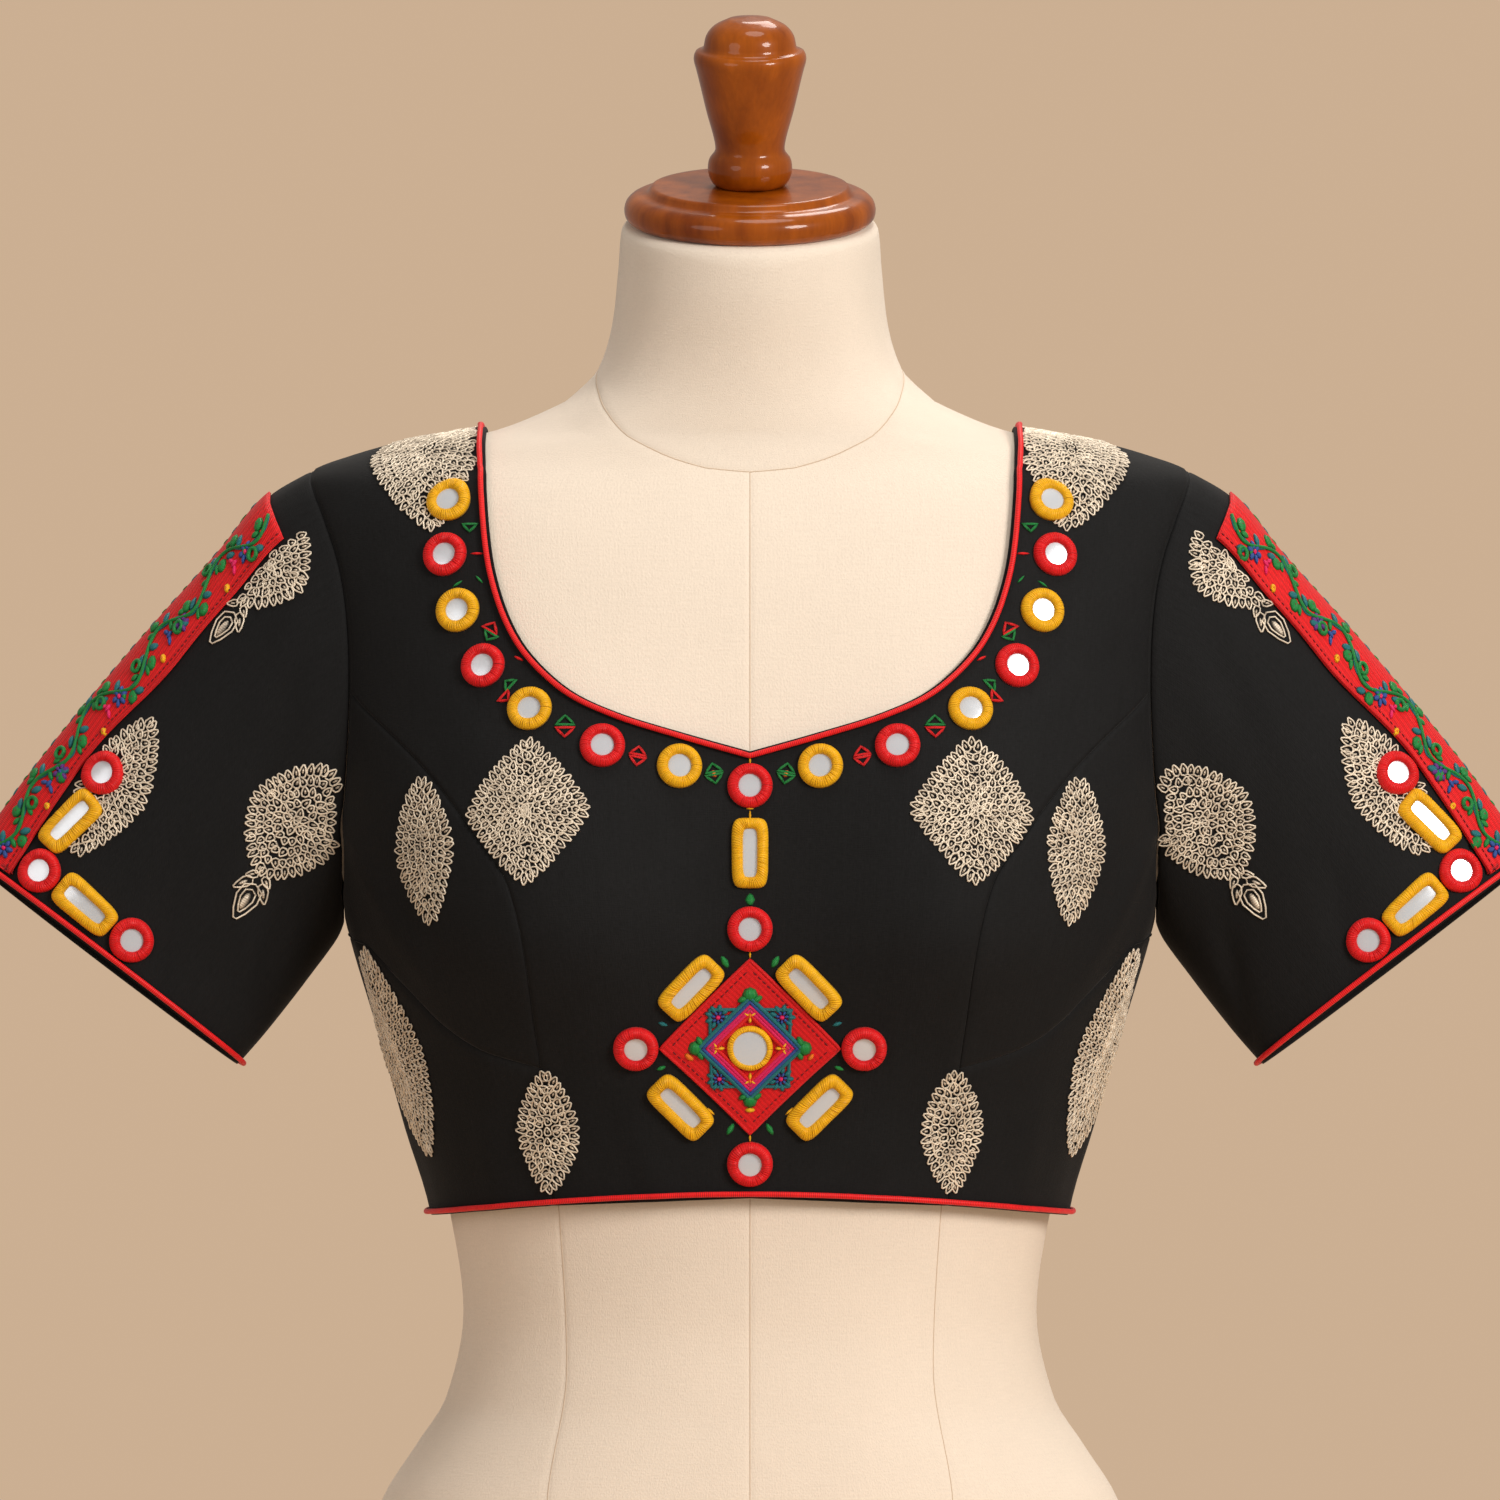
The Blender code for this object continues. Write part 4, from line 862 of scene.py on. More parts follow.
def cloth_finish(name, colour):
    """Fine plain weave: noise stretched along warp and weft, longer slubs, a soft mottle, and sheen for
    cotton silk's bloom."""
    net = Nodes(name)
    net.threads()
    weave = net.plus(net.grain(2.4, 0.35), net.grain(0.35, 2.4, 7.0))
    slub = net.grain(0.9, 0.04, 2.0)
    mottle = net.grain(1, 1, 3.0, scale=0.05)
    tone = net.plus(net.spread(weave, -0.35, 1.15), net.spread(slub, -0.25, 0.45))
    tone = net.times(tone, net.spread(mottle, 0.75, 1.25))
    return net.finish(Base_Color=net.scaled(colour, tone), Roughness=0.76,
                      Normal=net.bump(net.plus(weave, slub, 0.7), 0.00010), Sheen_Weight=0.05,
                      Sheen_Roughness=0.4, Specular_IOR_Level=0.20)


def thread_finish(name, colour, pitch=0.55, depth=0.00010, roughness=0.42):
    """Satin stitch: a wave across the threads, broken by a fine noise, with painted shade in its grooves."""
    net = Nodes(name)
    across, _ = net.threads()
    stray = net.grain(0.5, 0.25)
    thread = net.wave(net.plus(across, net.spread(stray, -0.25, 0.25)), pitch)
    patch = net.grain(1, 1, 2.0, scale=0.35)
    # The wave darkens the grooves between threads as painted shade; the patch noise is random tone.
    tone = net.times(net.spread(thread, 0.60, 1.24), net.spread(patch, 0.80, 1.20))
    return net.finish(Base_Color=net.scaled(colour, tone), Roughness=roughness,
                      Normal=net.bump(thread, depth), Sheen_Weight=0.05, Specular_IOR_Level=0.30)


def zari_finish(name, colour):
    """Antique-gold cord: part metal, with its twist's slant and worn stretches. A painted highlight runs
    along its crest, and painted shade darkens its sides."""
    net = Nodes(name)
    along, around = net.threads()
    twist = net.wave(along, 1.0)
    # Painted highlight and shade: the cord's top, where the sine of its angle round is 1, is lighter and its
    # sides darker.
    painted_top_light_side_shade = net.spread(net.math("SINE", around), 0.72, 1.22)
    worn = net.object_noise((1.0, 1.0, 1.0), scale=160.0)
    tone = net.times(net.spread(twist, 0.70, 1.10), net.spread(worn, 0.45, 1.45), painted_top_light_side_shade)
    return net.finish(Base_Color=net.scaled(colour, tone), Metallic=0.30,
                      Roughness=net.spread(worn, 0.32, 0.55), Normal=net.bump(twist, 0.00008))


def band_finish(name, colour):
    """Red ground filled with short stitches across the band, in rows whose ends show, with painted shade in
    the grooves between stitches and between rows.
    """
    net = Nodes(name)
    across, along = net.threads()
    stray = net.grain(1, 1, scale=0.6)
    thread = net.wave(net.plus(along, net.spread(stray, -0.3, 0.3)), 0.75)
    rows = net.wave(net.plus(across, net.spread(stray, -0.6, 0.6)), 2.6)
    # Painted shade: the thread wave darkens the grooves between stitches and the row wave darkens where rows
    # meet; the stretched grain is random tone.
    tone = net.times(net.spread(thread, 0.66, 1.1), net.spread(rows, 0.84, 1.08),
                     net.spread(net.grain(0.7, 2.6, 5.0), 0.6, 1.4))
    return net.finish(Base_Color=net.scaled(colour, tone), Roughness=0.55,
                      Normal=net.bump(net.plus(thread, rows, 0.7), 0.00010), Sheen_Weight=0.05,
                      Specular_IOR_Level=0.25)


def canvas_finish(name, colour):
    """Smooth linen canvas: fine grain, faint slubs, and a warm uneven tone."""
    net = Nodes(name)
    net.threads()
    grain = net.grain(1.5, 0.8, detail=4.0)
    slubs = net.plus(net.grain(0.08, 1.3, 4.0), net.grain(1.3, 0.06, 6.0))
    cloud = net.grain(1, 1, 9.0, scale=0.02)
    tone = net.times(net.spread(grain, 0.90, 1.07), net.spread(slubs, 0.955, 1.035),
                     net.spread(cloud, 0.96, 1.04))
    return net.finish(Base_Color=net.scaled(colour, tone), Roughness=0.84,
                      Normal=net.bump(net.plus(grain, slubs, 0.3), 0.00025), Sheen_Weight=0.08,
                      Specular_IOR_Level=0.25)


WOOD_DARK, WOOD_LIGHT = (0.56, 0.46, 0.42), (1.25, 1.35, 1.4)


def tinted(colour, shares):
    """A colour with each of its parts scaled by its own share."""
    return tuple(part * share for part, share in zip(colour, shares))


def wood_finish(name, colour):
    """Polished wood: streaks stretched along the turned axis, fine pores, and a clear coat."""
    net = Nodes(name)
    streak = net.object_noise((90.0, 90.0, 9.0), detail=5.0)
    figure = net.object_noise((28.0, 28.0, 5.0), detail=2.0)
    pore = net.object_noise((700.0, 700.0, 60.0), detail=2.0)
    grain = net.plus(net.times(streak, 0.65), figure, 0.35)
    steep = net.math("MULTIPLY_ADD", grain, 3.2, -1.1, clamp=True)
    ends = {6: (*tinted(colour, WOOD_DARK), 1.0), 7: (*tinted(colour, WOOD_LIGHT), 1.0)}
    tone = net.add("Mix", {0: steep, **ends}, output=2, data_type="RGBA")
    return net.finish(Base_Color=net.scaled(tone, net.spread(pore, 0.82, 1.16)), Roughness=0.34,
                      Normal=net.bump(pore, 0.00003), Coat_Weight=0.50, Coat_Roughness=0.06,
                      Specular_IOR_Level=0.10)


def mirror_finish(name):
    """Small hand-cut mirrors: part bright metal with faint waves in the glass; the rest of the pale
    blue-grey base colour is diffuse, a painted reflection of a pale room.
    """
    net = Nodes(name)
    waves = net.object_noise((1.0, 1.0, 1.0), scale=220.0, detail=1.0)
    # Painted reflection: with metallic at 0.35, most of this pale blue-grey shows as diffuse colour under
    # any light.
    return net.finish(Base_Color=(0.71, 0.76, 0.83, 1.0), Metallic=0.35,
                      Roughness=net.spread(waves, 0.16, 0.26), Normal=net.bump(waves, 0.00004))


FLOOR_SOLID, FLOOR_GONE = 0.45, 1.6  # metres


def floor_finish(name, colour):
    """A plain matt floor that fades out, round the object, into the world's own colour."""
    net = Nodes(name)
    reach = net.add("VectorMath", {0: net.add("TexCoord", {}, output=3)}, output=1, operation="LENGTH")
    gone = net.add("MapRange", {"Value": reach, "From Min": FLOOR_SOLID, "From Max": FLOOR_GONE},
                   interpolation_type="SMOOTHERSTEP")
    return net.finish(Base_Color=(*colour, 1.0), Roughness=0.9, Specular_IOR_Level=0.1,
                      Alpha=net.math("SUBTRACT", 1.0, gone))


# ---- the dress form

FORM_SEAM_DIP, FORM_SEAM_WIDE, FORM_SEAM_CORD = 0.35, 0.8, 0.26
SEAM_TINT = (0.78, 0.69, 0.60)
PRINCESS_TOP = 430.0  # height where the form's princess seams end
FORM_ROWS_BELOW, FORM_ROWS_ABOVE = 110, 36
THREAD_RADIUS = 150.0  # millimetres of thread for each radian of turn
# The form's own princess seams.
FORM_PRINCESS = (  # height, from the centre line
    (0, 80), (111, 84), (170, 76), (232, 79), (300, 88), (350, 94), (420, 92), (480, 88), (520, 84),
    (541, 80), (556.7, 74), (577, 52), (NECK_TOP, 34),
)
# The neck-base seam, round from the front to the back.
NECK_SEAM = (  # from the centre line, height
    (0, 541.5), (16, 542.8), (29.5, 546.3), (45, 553.3), (54, 559.4), (60, 567.2), (63.6, 575.6),
)
NECK_SEAM_BACK = (  # from the centre line, height
    (60, 591), (48, 597), (26, 600), (0, 601),
)


def form_lines():
    """The form's grid as (turn, run): columns follow its seams and gather beside them, and one row follows
    the seam round the neck's base."""
    near = np.array([0.0, 0.012, 0.03])
    share = concatenate([near, linspace(0.07, 0.93, 12), 1 - near[::-1]])
    seam_x, seam_heights = np.array(NECK_SEAM + NECK_SEAM_BACK).T
    behind = np.arange(len(seam_x)) >= len(NECK_SEAM)
    turns_at = turn_at_x(seam_x, run_at(seam_heights), behind)
    heights, aparts = np.array(FORM_PRINCESS).T
    fine_turn = linspace(0, pi, 61)
    seam_run = run_at(smooth(fine_turn, turns_at, seam_heights))
    up = concatenate([linspace(0, 1, FORM_ROWS_BELOW + 1)[:-3], 1 - near[::-1] / 5,
                         1 + concatenate([near[1:] / 2, linspace(0.05, 1, FORM_ROWS_ABOVE)])])

    def run_of(turn):
        at_seam = np.interp(turn, fine_turn, seam_run)
        return np.minimum(up, 1)[:, None] * at_seam + np.maximum(up - 1, 0)[:, None] * (RUNS[-1] - at_seam)

    step = len(share) - 1
    turn = np.zeros((len(up), 4 * step + 1))
    for _ in range(3):
        # The run depends on the turn and the seams on the run, so a few rounds settle both.
        run = run_of(turn)
        front = turn_at_x(smooth(smooth(run, RUNS, HEIGHTS), heights, aparts), run)
        marks = [np.zeros_like(front), front, np.full_like(front, pi / 2), pi - front,
                 np.full_like(front, pi)]
        columns = []
        for number, (first, last) in enumerate(zip(marks[:-1], marks[1:])):
            stretch = slice(number * step, (number + 1) * step + 1)
            part = first[:, stretch] * (1 - share) + last[:, stretch] * share
            columns.append(part[:, 1 if number else 0:])
        turn = concatenate(columns, axis=1)
    return turn, run_of(turn), [number * step for number in range(5)], int(np.argmin(np.abs(up - 1)))


def form_torso():
    """The form's grid of points, dipped along its seams, with a sunk cord in each of them."""
    turn, run, seams, neck_row = form_lines()
    turn = concatenate([-turn[:, :0:-1], turn[:, :-1]], axis=1)
    run = concatenate([run[:, :0:-1], run[:, :-1]], axis=1)
    rows, count = turn.shape
    middle = count // 2
    plain = form_point(turn, run)
    across = norm(plain - np.roll(plain, 1, axis=1), axis=-1).cumsum(axis=1)
    up = lengths(plain)
    dip, uprights = np.zeros_like(turn), []
    for number, seam in enumerate(seams):
        for column in sorted({middle + seam, middle - seam} & set(range(count))):
            low_end = int(np.argmax(plain[:, column, 2] > PRINCESS_TOP))
            last = low_end if number in (1, 3) else neck_row
            uprights.append((column, last))
            away = across - across[:, column:column + 1]
            dip += bell(away / FORM_SEAM_WIDE) * (np.arange(rows)[:, None] <= last)
    dip = np.minimum(dip, 1.0)
    dip = np.maximum(dip, bell((up - up[neck_row:neck_row + 1]) / FORM_SEAM_WIDE)) * FORM_SEAM_DIP
    normal = form_normal(turn, run)
    faces = [grid_faces(rows, count, closed=True),
             np.arange(count)[None, ::-1], ((rows - 1) * count + np.arange(count))[None, :]]
    body = Patch(plain - normal * dip[..., None], faces, np.stack([turn * THREAD_RADIUS, run], axis=-1))
    low = plain - normal * (FORM_SEAM_DIP + FORM_SEAM_CORD * 0.2)
    cords = [cord_patch(low[None, :last + 1, column], normal[None, :last + 1, column], FORM_SEAM_CORD,
                        closed=False, sides=6, finish=1) for column, last in uprights]
    ring = cord_patch(low[neck_row][None], normal[neck_row][None], FORM_SEAM_CORD * 1.15, sides=6, finish=1)
    tint = colours().canvas
    finishes = [canvas_finish("form_canvas", tint), canvas_finish("form_seam", tinted(tint, SEAM_TINT))]
    add_piece("form_torso_canvas", [body, *cords, ring], finishes, ["form_torso"])


TURNED_COLUMNS = 96
TURNED_STEP = 1.5  # millimetres between two points of a turned profile


def turned_piece(name, profile, top, base, node, material):
    """A profile of (radius, height) carried round the neck's leaning axis. It is read along its own length,
    so its corners stay, eased by a short running mean."""
    profile = np.array(profile, float)
    table = concatenate([[(0.0, 0.0)], profile, [(0.0, top)]])
    length = lengths(table)
    at = linspace(0, length[-1], int(length[-1] / TURNED_STEP))
    knots = lengths(profile) + length[1]
    inside = (at >= knots[0]) & (at <= knots[-1])
    radius, height = (np.interp(at, length, column) for column in table.T)
    radius[inside] = smooth(at[inside], knots, profile[:, 0])
    height[inside] = smooth(at[inside], knots, profile[:, 1])
    radius[2:-2] = np.convolve(radius, np.ones(3) / 3, mode="same")[2:-2]
    angle, rows = circle(TURNED_COLUMNS), len(radius) - 2
    rings = np.stack(matched(radius[1:-1, None] * cos(angle), radius[1:-1, None] * sin(angle),
                             height[1:-1, None]), axis=-1)
    points = concatenate([rings.reshape(-1, 3), [[0, 0, 0.0], [0, 0, top]]])
    foot = fan(TURNED_COLUMNS, rows * TURNED_COLUMNS)[:, [0, 2, 1]]
    crown = fan(TURNED_COLUMNS, rows * TURNED_COLUMNS + 1, (rows - 1) * TURNED_COLUMNS)
    lean = np.array([0.0, -math.sin(NECK_TILT), math.cos(NECK_TILT)])
    ahead = np.array([0.0, math.cos(NECK_TILT), math.sin(NECK_TILT)])
    placed = (points[:, :1] * (1, 0, 0) + points[:, 1:2] * ahead + (points[:, 2:] + base) * lean
              + (0.0, NECK_LEAN, NECK_TOP))
    patch = Patch(placed, [grid_faces(rows, TURNED_COLUMNS, closed=True), concatenate([foot, crown])],
                  np.zeros((len(placed), 2)))
    add_piece(name, [patch], [material], [node])


# ---- the blouse's panels

FINE = 4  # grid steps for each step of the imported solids' own grid
SEAM_DIP, SEAM_WIDE, HEM_DIP = 0.75, 1.1, 0.35
EDGE_SHARES = (0.006, 0.016)


def shares(steps, edge_first=False, edge_last=False):
    """Even shares of a line, with two more beside an end that is a seam or an edge."""
    inner = list(linspace(0, 1, steps * FINE + 1))
    if edge_first:
        inner[1:1] = EDGE_SHARES
    if edge_last:
        inner[-1:-1] = [1 - share for share in EDGE_SHARES[::-1]]
    return np.array(inner)


def between(inner, outer, columns):
    """A grid of (turn, run) pairs: straight rows between two lines of as many points."""
    share = shares(columns, True, True)[None, :, None]
    return inner[:, None] * (1 - share) + outer[:, None] * share


def armhole_part(start, end, steps):
    return armhole(start + (end - start) * steps)


def princess_below(edge_last=False):
    line = part_of(PRINCESS_LINE, PRINCESS_LINE[0, 1], UNDER_BUST_LINE[0, 1])
    return read(line, shares(4, True, edge_last))


def princess_above(edge_first=False):
    line = part_of(PRINCESS_LINE, UNDER_BUST_LINE[0, 1], PRINCESS_LINE[-1, 1])
    return read(line, shares(10, edge_first))


def front_lines():
    """The left half of the front centre panel, from hem to shoulder."""
    centre = upright(0.0, hem_run(0.0), run_at(FRONT_NECKLINE[0][1]), 2)
    inner = join(read(centre, shares(10, True)), read(FRONT_NECK_LINE, shares(14, False, True)))
    outer = join(princess_below(), princess_above(), armhole_part(MEETING, 0, shares(10, False, True)))
    return between(inner, outer, 9)


def cup_lines():
    """A cup, from the under-bust seam, whose curve its last rows take, to the armhole."""
    inner = princess_above(edge_first=True)[::-1]
    side = upright(pi / 2, run_at(UNDERARM_HEIGHT), run_at(UNDER_BUST_SIDE))
    outer = join(armhole_part(MEETING, pi, shares(9)), read(side, shares(1, False, True)))
    grid = between(inner, outer, 8)
    bow = read(UNDER_BUST_LINE, shares(8, True, True)) - grid[-1]
    return (grid + bow * (linspace(0, 1, len(inner)) ** 2)[:, None, None])[::-1]


def under_bust_lines():
    """The panel below a cup: its first column follows the princess seam, and the rest ease away."""
    across = shares(8, True, True)
    top = read(UNDER_BUST_LINE, across)
    bottom_turn = PRINCESS_LINE[0, 0] + (pi / 2 - PRINCESS_LINE[0, 0]) * across
    bottom = np.column_stack([bottom_turn, hem_run(bottom_turn)])
    inner = princess_below(edge_last=True)
    share = ((inner[:, 1] - inner[0, 1]) / (inner[-1, 1] - inner[0, 1]))[:, None, None]
    grid = bottom * (1 - share) + top * share
    return grid + (inner - grid[:, 0])[:, None] * (1 - across)[None, :, None]


def back_lines():
    """The left back panel: columns run from the side seam and armhole to the centre back."""
    centre = upright(pi, hem_run(pi), run_at(BACK_NECKLINE[0][1]), 2)
    inner = join(read(centre, shares(11, True)), read(BACK_NECK_LINE, shares(13, False, True)))
    side = upright(pi / 2, hem_run(pi / 2), run_at(UNDERARM_HEIGHT))
    outer = join(read(side, shares(6, True)), armhole_part(-pi, 0, shares(18, False, True)))
    return between(outer, inner, 11)


def panel_patch(lines, side, seams):
    """One panel's outer face: it dips at each border that is a seam, and a little at the hem."""
    turn, run = lines[..., 0] * side, lines[..., 1]
    flat = cloth_point(turn, run)
    across, up = lengths(flat, 1), lengths(flat)
    away = {"first": across, "last": across[:, -1:] - across, "bottom": up, "top": up[-1:] - up}
    dip = sum(SEAM_DIP * bell(away[border] / SEAM_WIDE) for border in seams)
    if "bottom" not in seams:
        dip = dip + HEM_DIP * bell(up / SEAM_WIDE)
    points = cloth_point(turn, run, -np.minimum(dip, SEAM_DIP))
    return grid_patch(points, np.stack([turn * CREASE_RADIUS, run], axis=-1), flip=side < 0)


def seam_cords():
    """The folded edges behind the seams, as cords sunk below the cloth: they close the gap between two
    panels where the surface bends."""
    def cord(line, side, depth, radius, closed=False):
        path, normals = raised(cloth_point, line[:, 0] * side, line[:, 1], -depth)
        return cord_patch(path[None], normals[None], radius, closed=closed, sides=8)

    even = linspace(0, 1, 60)
    lines = (read(PRINCESS_LINE, even), read(UNDER_BUST_LINE, even),
             upright(pi / 2, hem_run(pi / 2), run_at(UNDERARM_HEIGHT)),
             upright(pi, hem_run(pi), run_at(BACK_NECKLINE[0][1]), 40),
             upright(pi / 2, armhole(np.zeros(1))[0, 1], RIDGE_AT_NECK, 30))
    patches = []
    for _, hand in SIDES:
        patches.append(cord(armhole(circle(160) - pi), hand, 1.5, 1.15, closed=True))
        patches += [cord(line, hand, 1.6, 0.75) for line in lines]
    return patches


SLEEVE_COLUMNS, SLEEVE_ROWS = 112, 64


def sleeve_shell(name, side, material):
    """One sleeve: rings round the arm from the armhole to the cuff, with a dip at both ends."""
    round_by = circle(SLEEVE_COLUMNS)
    along = concatenate([[0.0, 0.006, 0.014], linspace(0.025, 0.985, SLEEVE_ROWS), [0.994, 1.0]])
    surface = sleeve_point(side)
    down = lengths(surface(round_by, along[:, None]))
    dip = SEAM_DIP * bell(down / SEAM_WIDE) + HEM_DIP * bell((down[-1:] - down) / SEAM_WIDE)
    points = surface(round_by, along[:, None], -dip)
    arc = lengths(plain_sleeve(round_by, np.full_like(round_by, 0.5)))
    patch = grid_patch(points, np.stack(matched(arc, down), axis=-1), closed=True, flip=side < 0)
    piece = add_shell(f"sleeve_{name}_cloth", [patch], material, SHELL, [f"sleeve_{name}"])


# ---- piping

HEM_POINTS, CUFF_POINTS = 360, 180
PIPING_OUT = PIPING_SEAT + PIPING_RADIUS


def edge_path(line, inward):
    """The middle of the piping just inside a line of (turn, run) rows on the cloth."""
    edge = on_cloth(line)
    normal = form_normal(line[:, 0], line[:, 1])
    aside = np.cross(normal, np.gradient(edge, lengths(edge), axis=0)) * inward
    aside /= norm(aside, axis=-1, keepdims=True)
    return edge + aside * PIPING_INSET + normal * PIPING_OUT, aside, normal


def piping_patch(path, normals):
    return cord_patch(path[None], normals[None], PIPING_RADIUS, sides=12, twist=0.0)


def neck_piping_patch():
    """From the V's point over the shoulder to the middle of the back, and back down."""
    front, aside, front_normal = edge_path(read(FRONT_NECK_LINE, linspace(0, 1, 90)), -1)
    front[0] += (0, 0, front[0, 0] * aside[0, 0] / aside[0, 2])
    front[0, 0] = 0.0
    back, _, back_normal = edge_path(read(BACK_NECK_LINE, linspace(0, 1, 70)), 1)
    back[0, 0] = 0.0
    halves = (join(front, back[::-1]), join(front_normal, back_normal[::-1]))
    return piping_patch(*(concatenate([half, half[::-1][1:-1] * (-1, 1, 1)]) for half in halves))


def hem_piping_patch():
    turn = circle(HEM_POINTS) - pi
    return piping_patch(*raised(cloth_point, turn, hem_run(turn) + PIPING_INSET, PIPING_OUT))


def cuff_piping_patch(side):
    round_by = circle(CUFF_POINTS)
    share = cuff_share(round_by, PIPING_INSET)
    return piping_patch(*raised(sleeve_point(side), round_by, share, PIPING_OUT))


# ---- padded mirrors

PAD_WIDE = 4.7  # from a padded mirror's outline to the glass
PAD_ROWS, PAD_CROWN, PAD_INNER = 9, 3.0, 1.1
PAD_SEAT = 0.05
THREAD_STEP = 1.18  # millimetres of outline for each wrapped thread
THREAD_POINTS, THREAD_RISE = 4, 0.24
GLASS_COLUMNS = 48


def perimeter_of(kind):
    return lengths(np.column_stack(outline(kind, linspace(0, 2 * pi, 400))))[-1]


def pad_patch(surface, place, kind, slope, seat, random, side=1, wide=PAD_WIDE, crown=PAD_CROWN):
    """A padded frame: a half round whose crown is nearer the outline, with wrapped threads in ripples over
    it, each a little higher or lower than the next."""
    perimeter = perimeter_of(kind)
    threads = int(perimeter / THREAD_STEP)
    columns = threads * THREAD_POINTS
    across = linspace(0, 1, PAD_ROWS)
    inset = 0.1 + wide * (1 - cos(pi * across)) / 2
    height = seat + crown * sin(pi * across) ** 0.8 + PAD_INNER * across ** 2
    phase = np.arange(columns) * 2 * pi / THREAD_POINTS
    uneven = np.repeat(random.uniform(0.4, 1.3, threads), THREAD_POINTS)
    swell = np.repeat(random.uniform(-0.15, 0.15, threads), THREAD_POINTS)
    ripple = (THREAD_RISE * cos(phase) * uneven + swell)[None] * sin(pi * across)[:, None] ** 0.5
    return rimmed(surface, place, kind, slope, inset, height, columns, perimeter, ripple, side)


def glass_patch(surface, place, kind, slope, seat, side=1, wide=PAD_WIDE):
    """The mirror inside a padded frame: a thin plate with eased edges."""
    inset = wide + np.array([-0.5, -0.1, 0.3])
    height = seat + PAD_INNER + np.array([0.05, 0.3, 0.34])
    return rimmed(surface, place, kind, slope, inset, height, GLASS_COLUMNS, perimeter_of(kind), side=side)


def body_place(x, height, back=False):
    """The place (turn, run) on the body that is x from the centre line at a height."""
    run = float(run_at(height))
    return float(turn_at_x(x, run, back)) * math.copysign(1, x), run


# ---- gold medallions

CORD_RADIUS = 0.41
LOOP_POINTS = 9
LOOP_STEP = 3.05  # millimetres of a row's line for each small loop
ROW_STEP = 3.7
POINT_INSET = 1.45  # how much faster a row's ends draw in than its sides
EDGE_CLEAR = 4.6  # medallions stay this far inside the piping's edge
SEAM_CLEAR = 0.024  # and this much of a turn's radian inside the armhole
PAD_CLEAR, CHAIN_CLEAR = 8.2, 9.2

# The body's medallions, on one side.
BODY_MEDALLIONS = (
    # on the back, from the centre line, height, degrees from straight up, half width, half length,
    # bud, how pointed
    (False, 133, 549.8, 183, 24.5, 46, 0, 1.5), (False, 91.5, 400.6, -2, 26, 31.5, 0, 1.72),
    (False, 133, 384.3, 2, 15.5, 31, 0, 1.4), (False, 81.4, 270, 2, 13.2, 27, 0, 1.4),
    (False, 143.5, 301.5, 17, 22, 46, 0, 1.38), (True, 70, 400, -4, 26, 31.5, 0, 1.72),
    (True, 138, 470, 186, 18, 28, 0, 1.4), (True, 139, 352, -4, 20, 32, 0, 1.4),
    (True, 56, 286, 0, 14, 26, 0, 1.4), (True, 118, 272, -4, 14, 26, 0, 1.4),
)
# The left sleeve's medallions, as seen from the front; the same are behind.
SLEEVE_MEDALLIONS = (  # x, height, degrees from straight up, half width, half length, bud, how pointed
    (199.5, 503, 143, 18, 21, 19, 1.4),
    (189, 396, 146, 20.5, 27.5, 20, 1.3),
    (266, 410.5, 150, 15.5, 33, 0, 1.4),
)


def row_of_loops(half_width, half_length, pointed, edge, random):
    """One row: loops at even steps round a lozenge, pointing away from it, more unevenly inside. The
    lozenge is an oval whose sine and cosine are raised to pointed."""
    angle = linspace(0, 2 * pi, 361)
    u, v = (half * np.sign(part) * np.abs(part) ** pointed
            for half, part in ((half_width, sin(angle)), (half_length, cos(angle))))
    line = lengths(np.column_stack([u, v]))
    count = max(3, int(line[-1] / LOOP_STEP))
    at = (np.arange(count) + random.uniform(0, 1) + random.uniform(-0.2, 0.2, count)) / count * line[-1]
    here, before, after = (np.array([np.interp(where, line, part, period=line[-1]) for part in (u, v)])
                           for where in (at, at - 1.5, at + 1.5))
    ahead = after - before
    ray = here / np.maximum(np.hypot(*here), 0.1)
    face = np.array([-ahead[1], ahead[0]]) / np.maximum(np.hypot(*ahead), 0.1)
    aim = ray * 0.6 + face * np.sign((face * ray).sum(axis=0)) * 0.6
    away = np.arctan2(aim[1], aim[0]) + random.uniform(-1, 1, count) * (0.22 if edge else 0.6)
    long = ROW_STEP * random.uniform(0.9, 1.3, count) * (1.25 if edge else 1.0)
    wide = LOOP_STEP * random.uniform(0.80, 1.05, count)
    return np.column_stack([*here, away, long, wide])


def rows_of_loops(half_width, half_length, pointed, random):
    """Rows of loops that fill a lozenge, as (u, v, heading, length, width): each lies one step inside the
    last, and a line of loops down the middle ends them."""
    loops, inset = [], 0.4
    while half_width - inset * ROW_STEP > 1.2:
        wide, long = half_width - inset * ROW_STEP, half_length - inset * ROW_STEP * POINT_INSET
        loops.append(row_of_loops(wide, max(long, wide), pointed, inset < 1, random))
        inset += 1
    spine = max(half_length - inset * ROW_STEP * POINT_INSET, 1.0)
    count = max(2, int(2 * spine / LOOP_STEP))
    lean = pi / 2 + random.uniform(-0.5, 0.5, count)
    spine_loops = matched(np.zeros(count), linspace(-spine, spine, count), lean, 3.6, 2.8)
    return concatenate([*loops, np.column_stack(spine_loops)])


def bud_loops(half_length, bud):
    """A pointed bud beyond the medallion's top: one outline in another, with two leaves and two small ones
    at its foot."""
    foot, top = half_length + 1.5, pi / 2
    middle = foot + bud * 0.55
    rows = [(0.0, middle, top, bud * 0.86, bud * 0.46), (0.0, middle - 0.4, top, bud * 0.56, bud * 0.27)]
    for side in (-1, 1):
        rows += [(side * bud * 0.25, foot + bud * 0.22, top - side * 0.62, bud * 0.46, bud * 0.20),
                 (side * bud * 0.18, foot - 0.5, top - side * 0.95, bud * 0.28, bud * 0.15)]
    return np.array(rows)


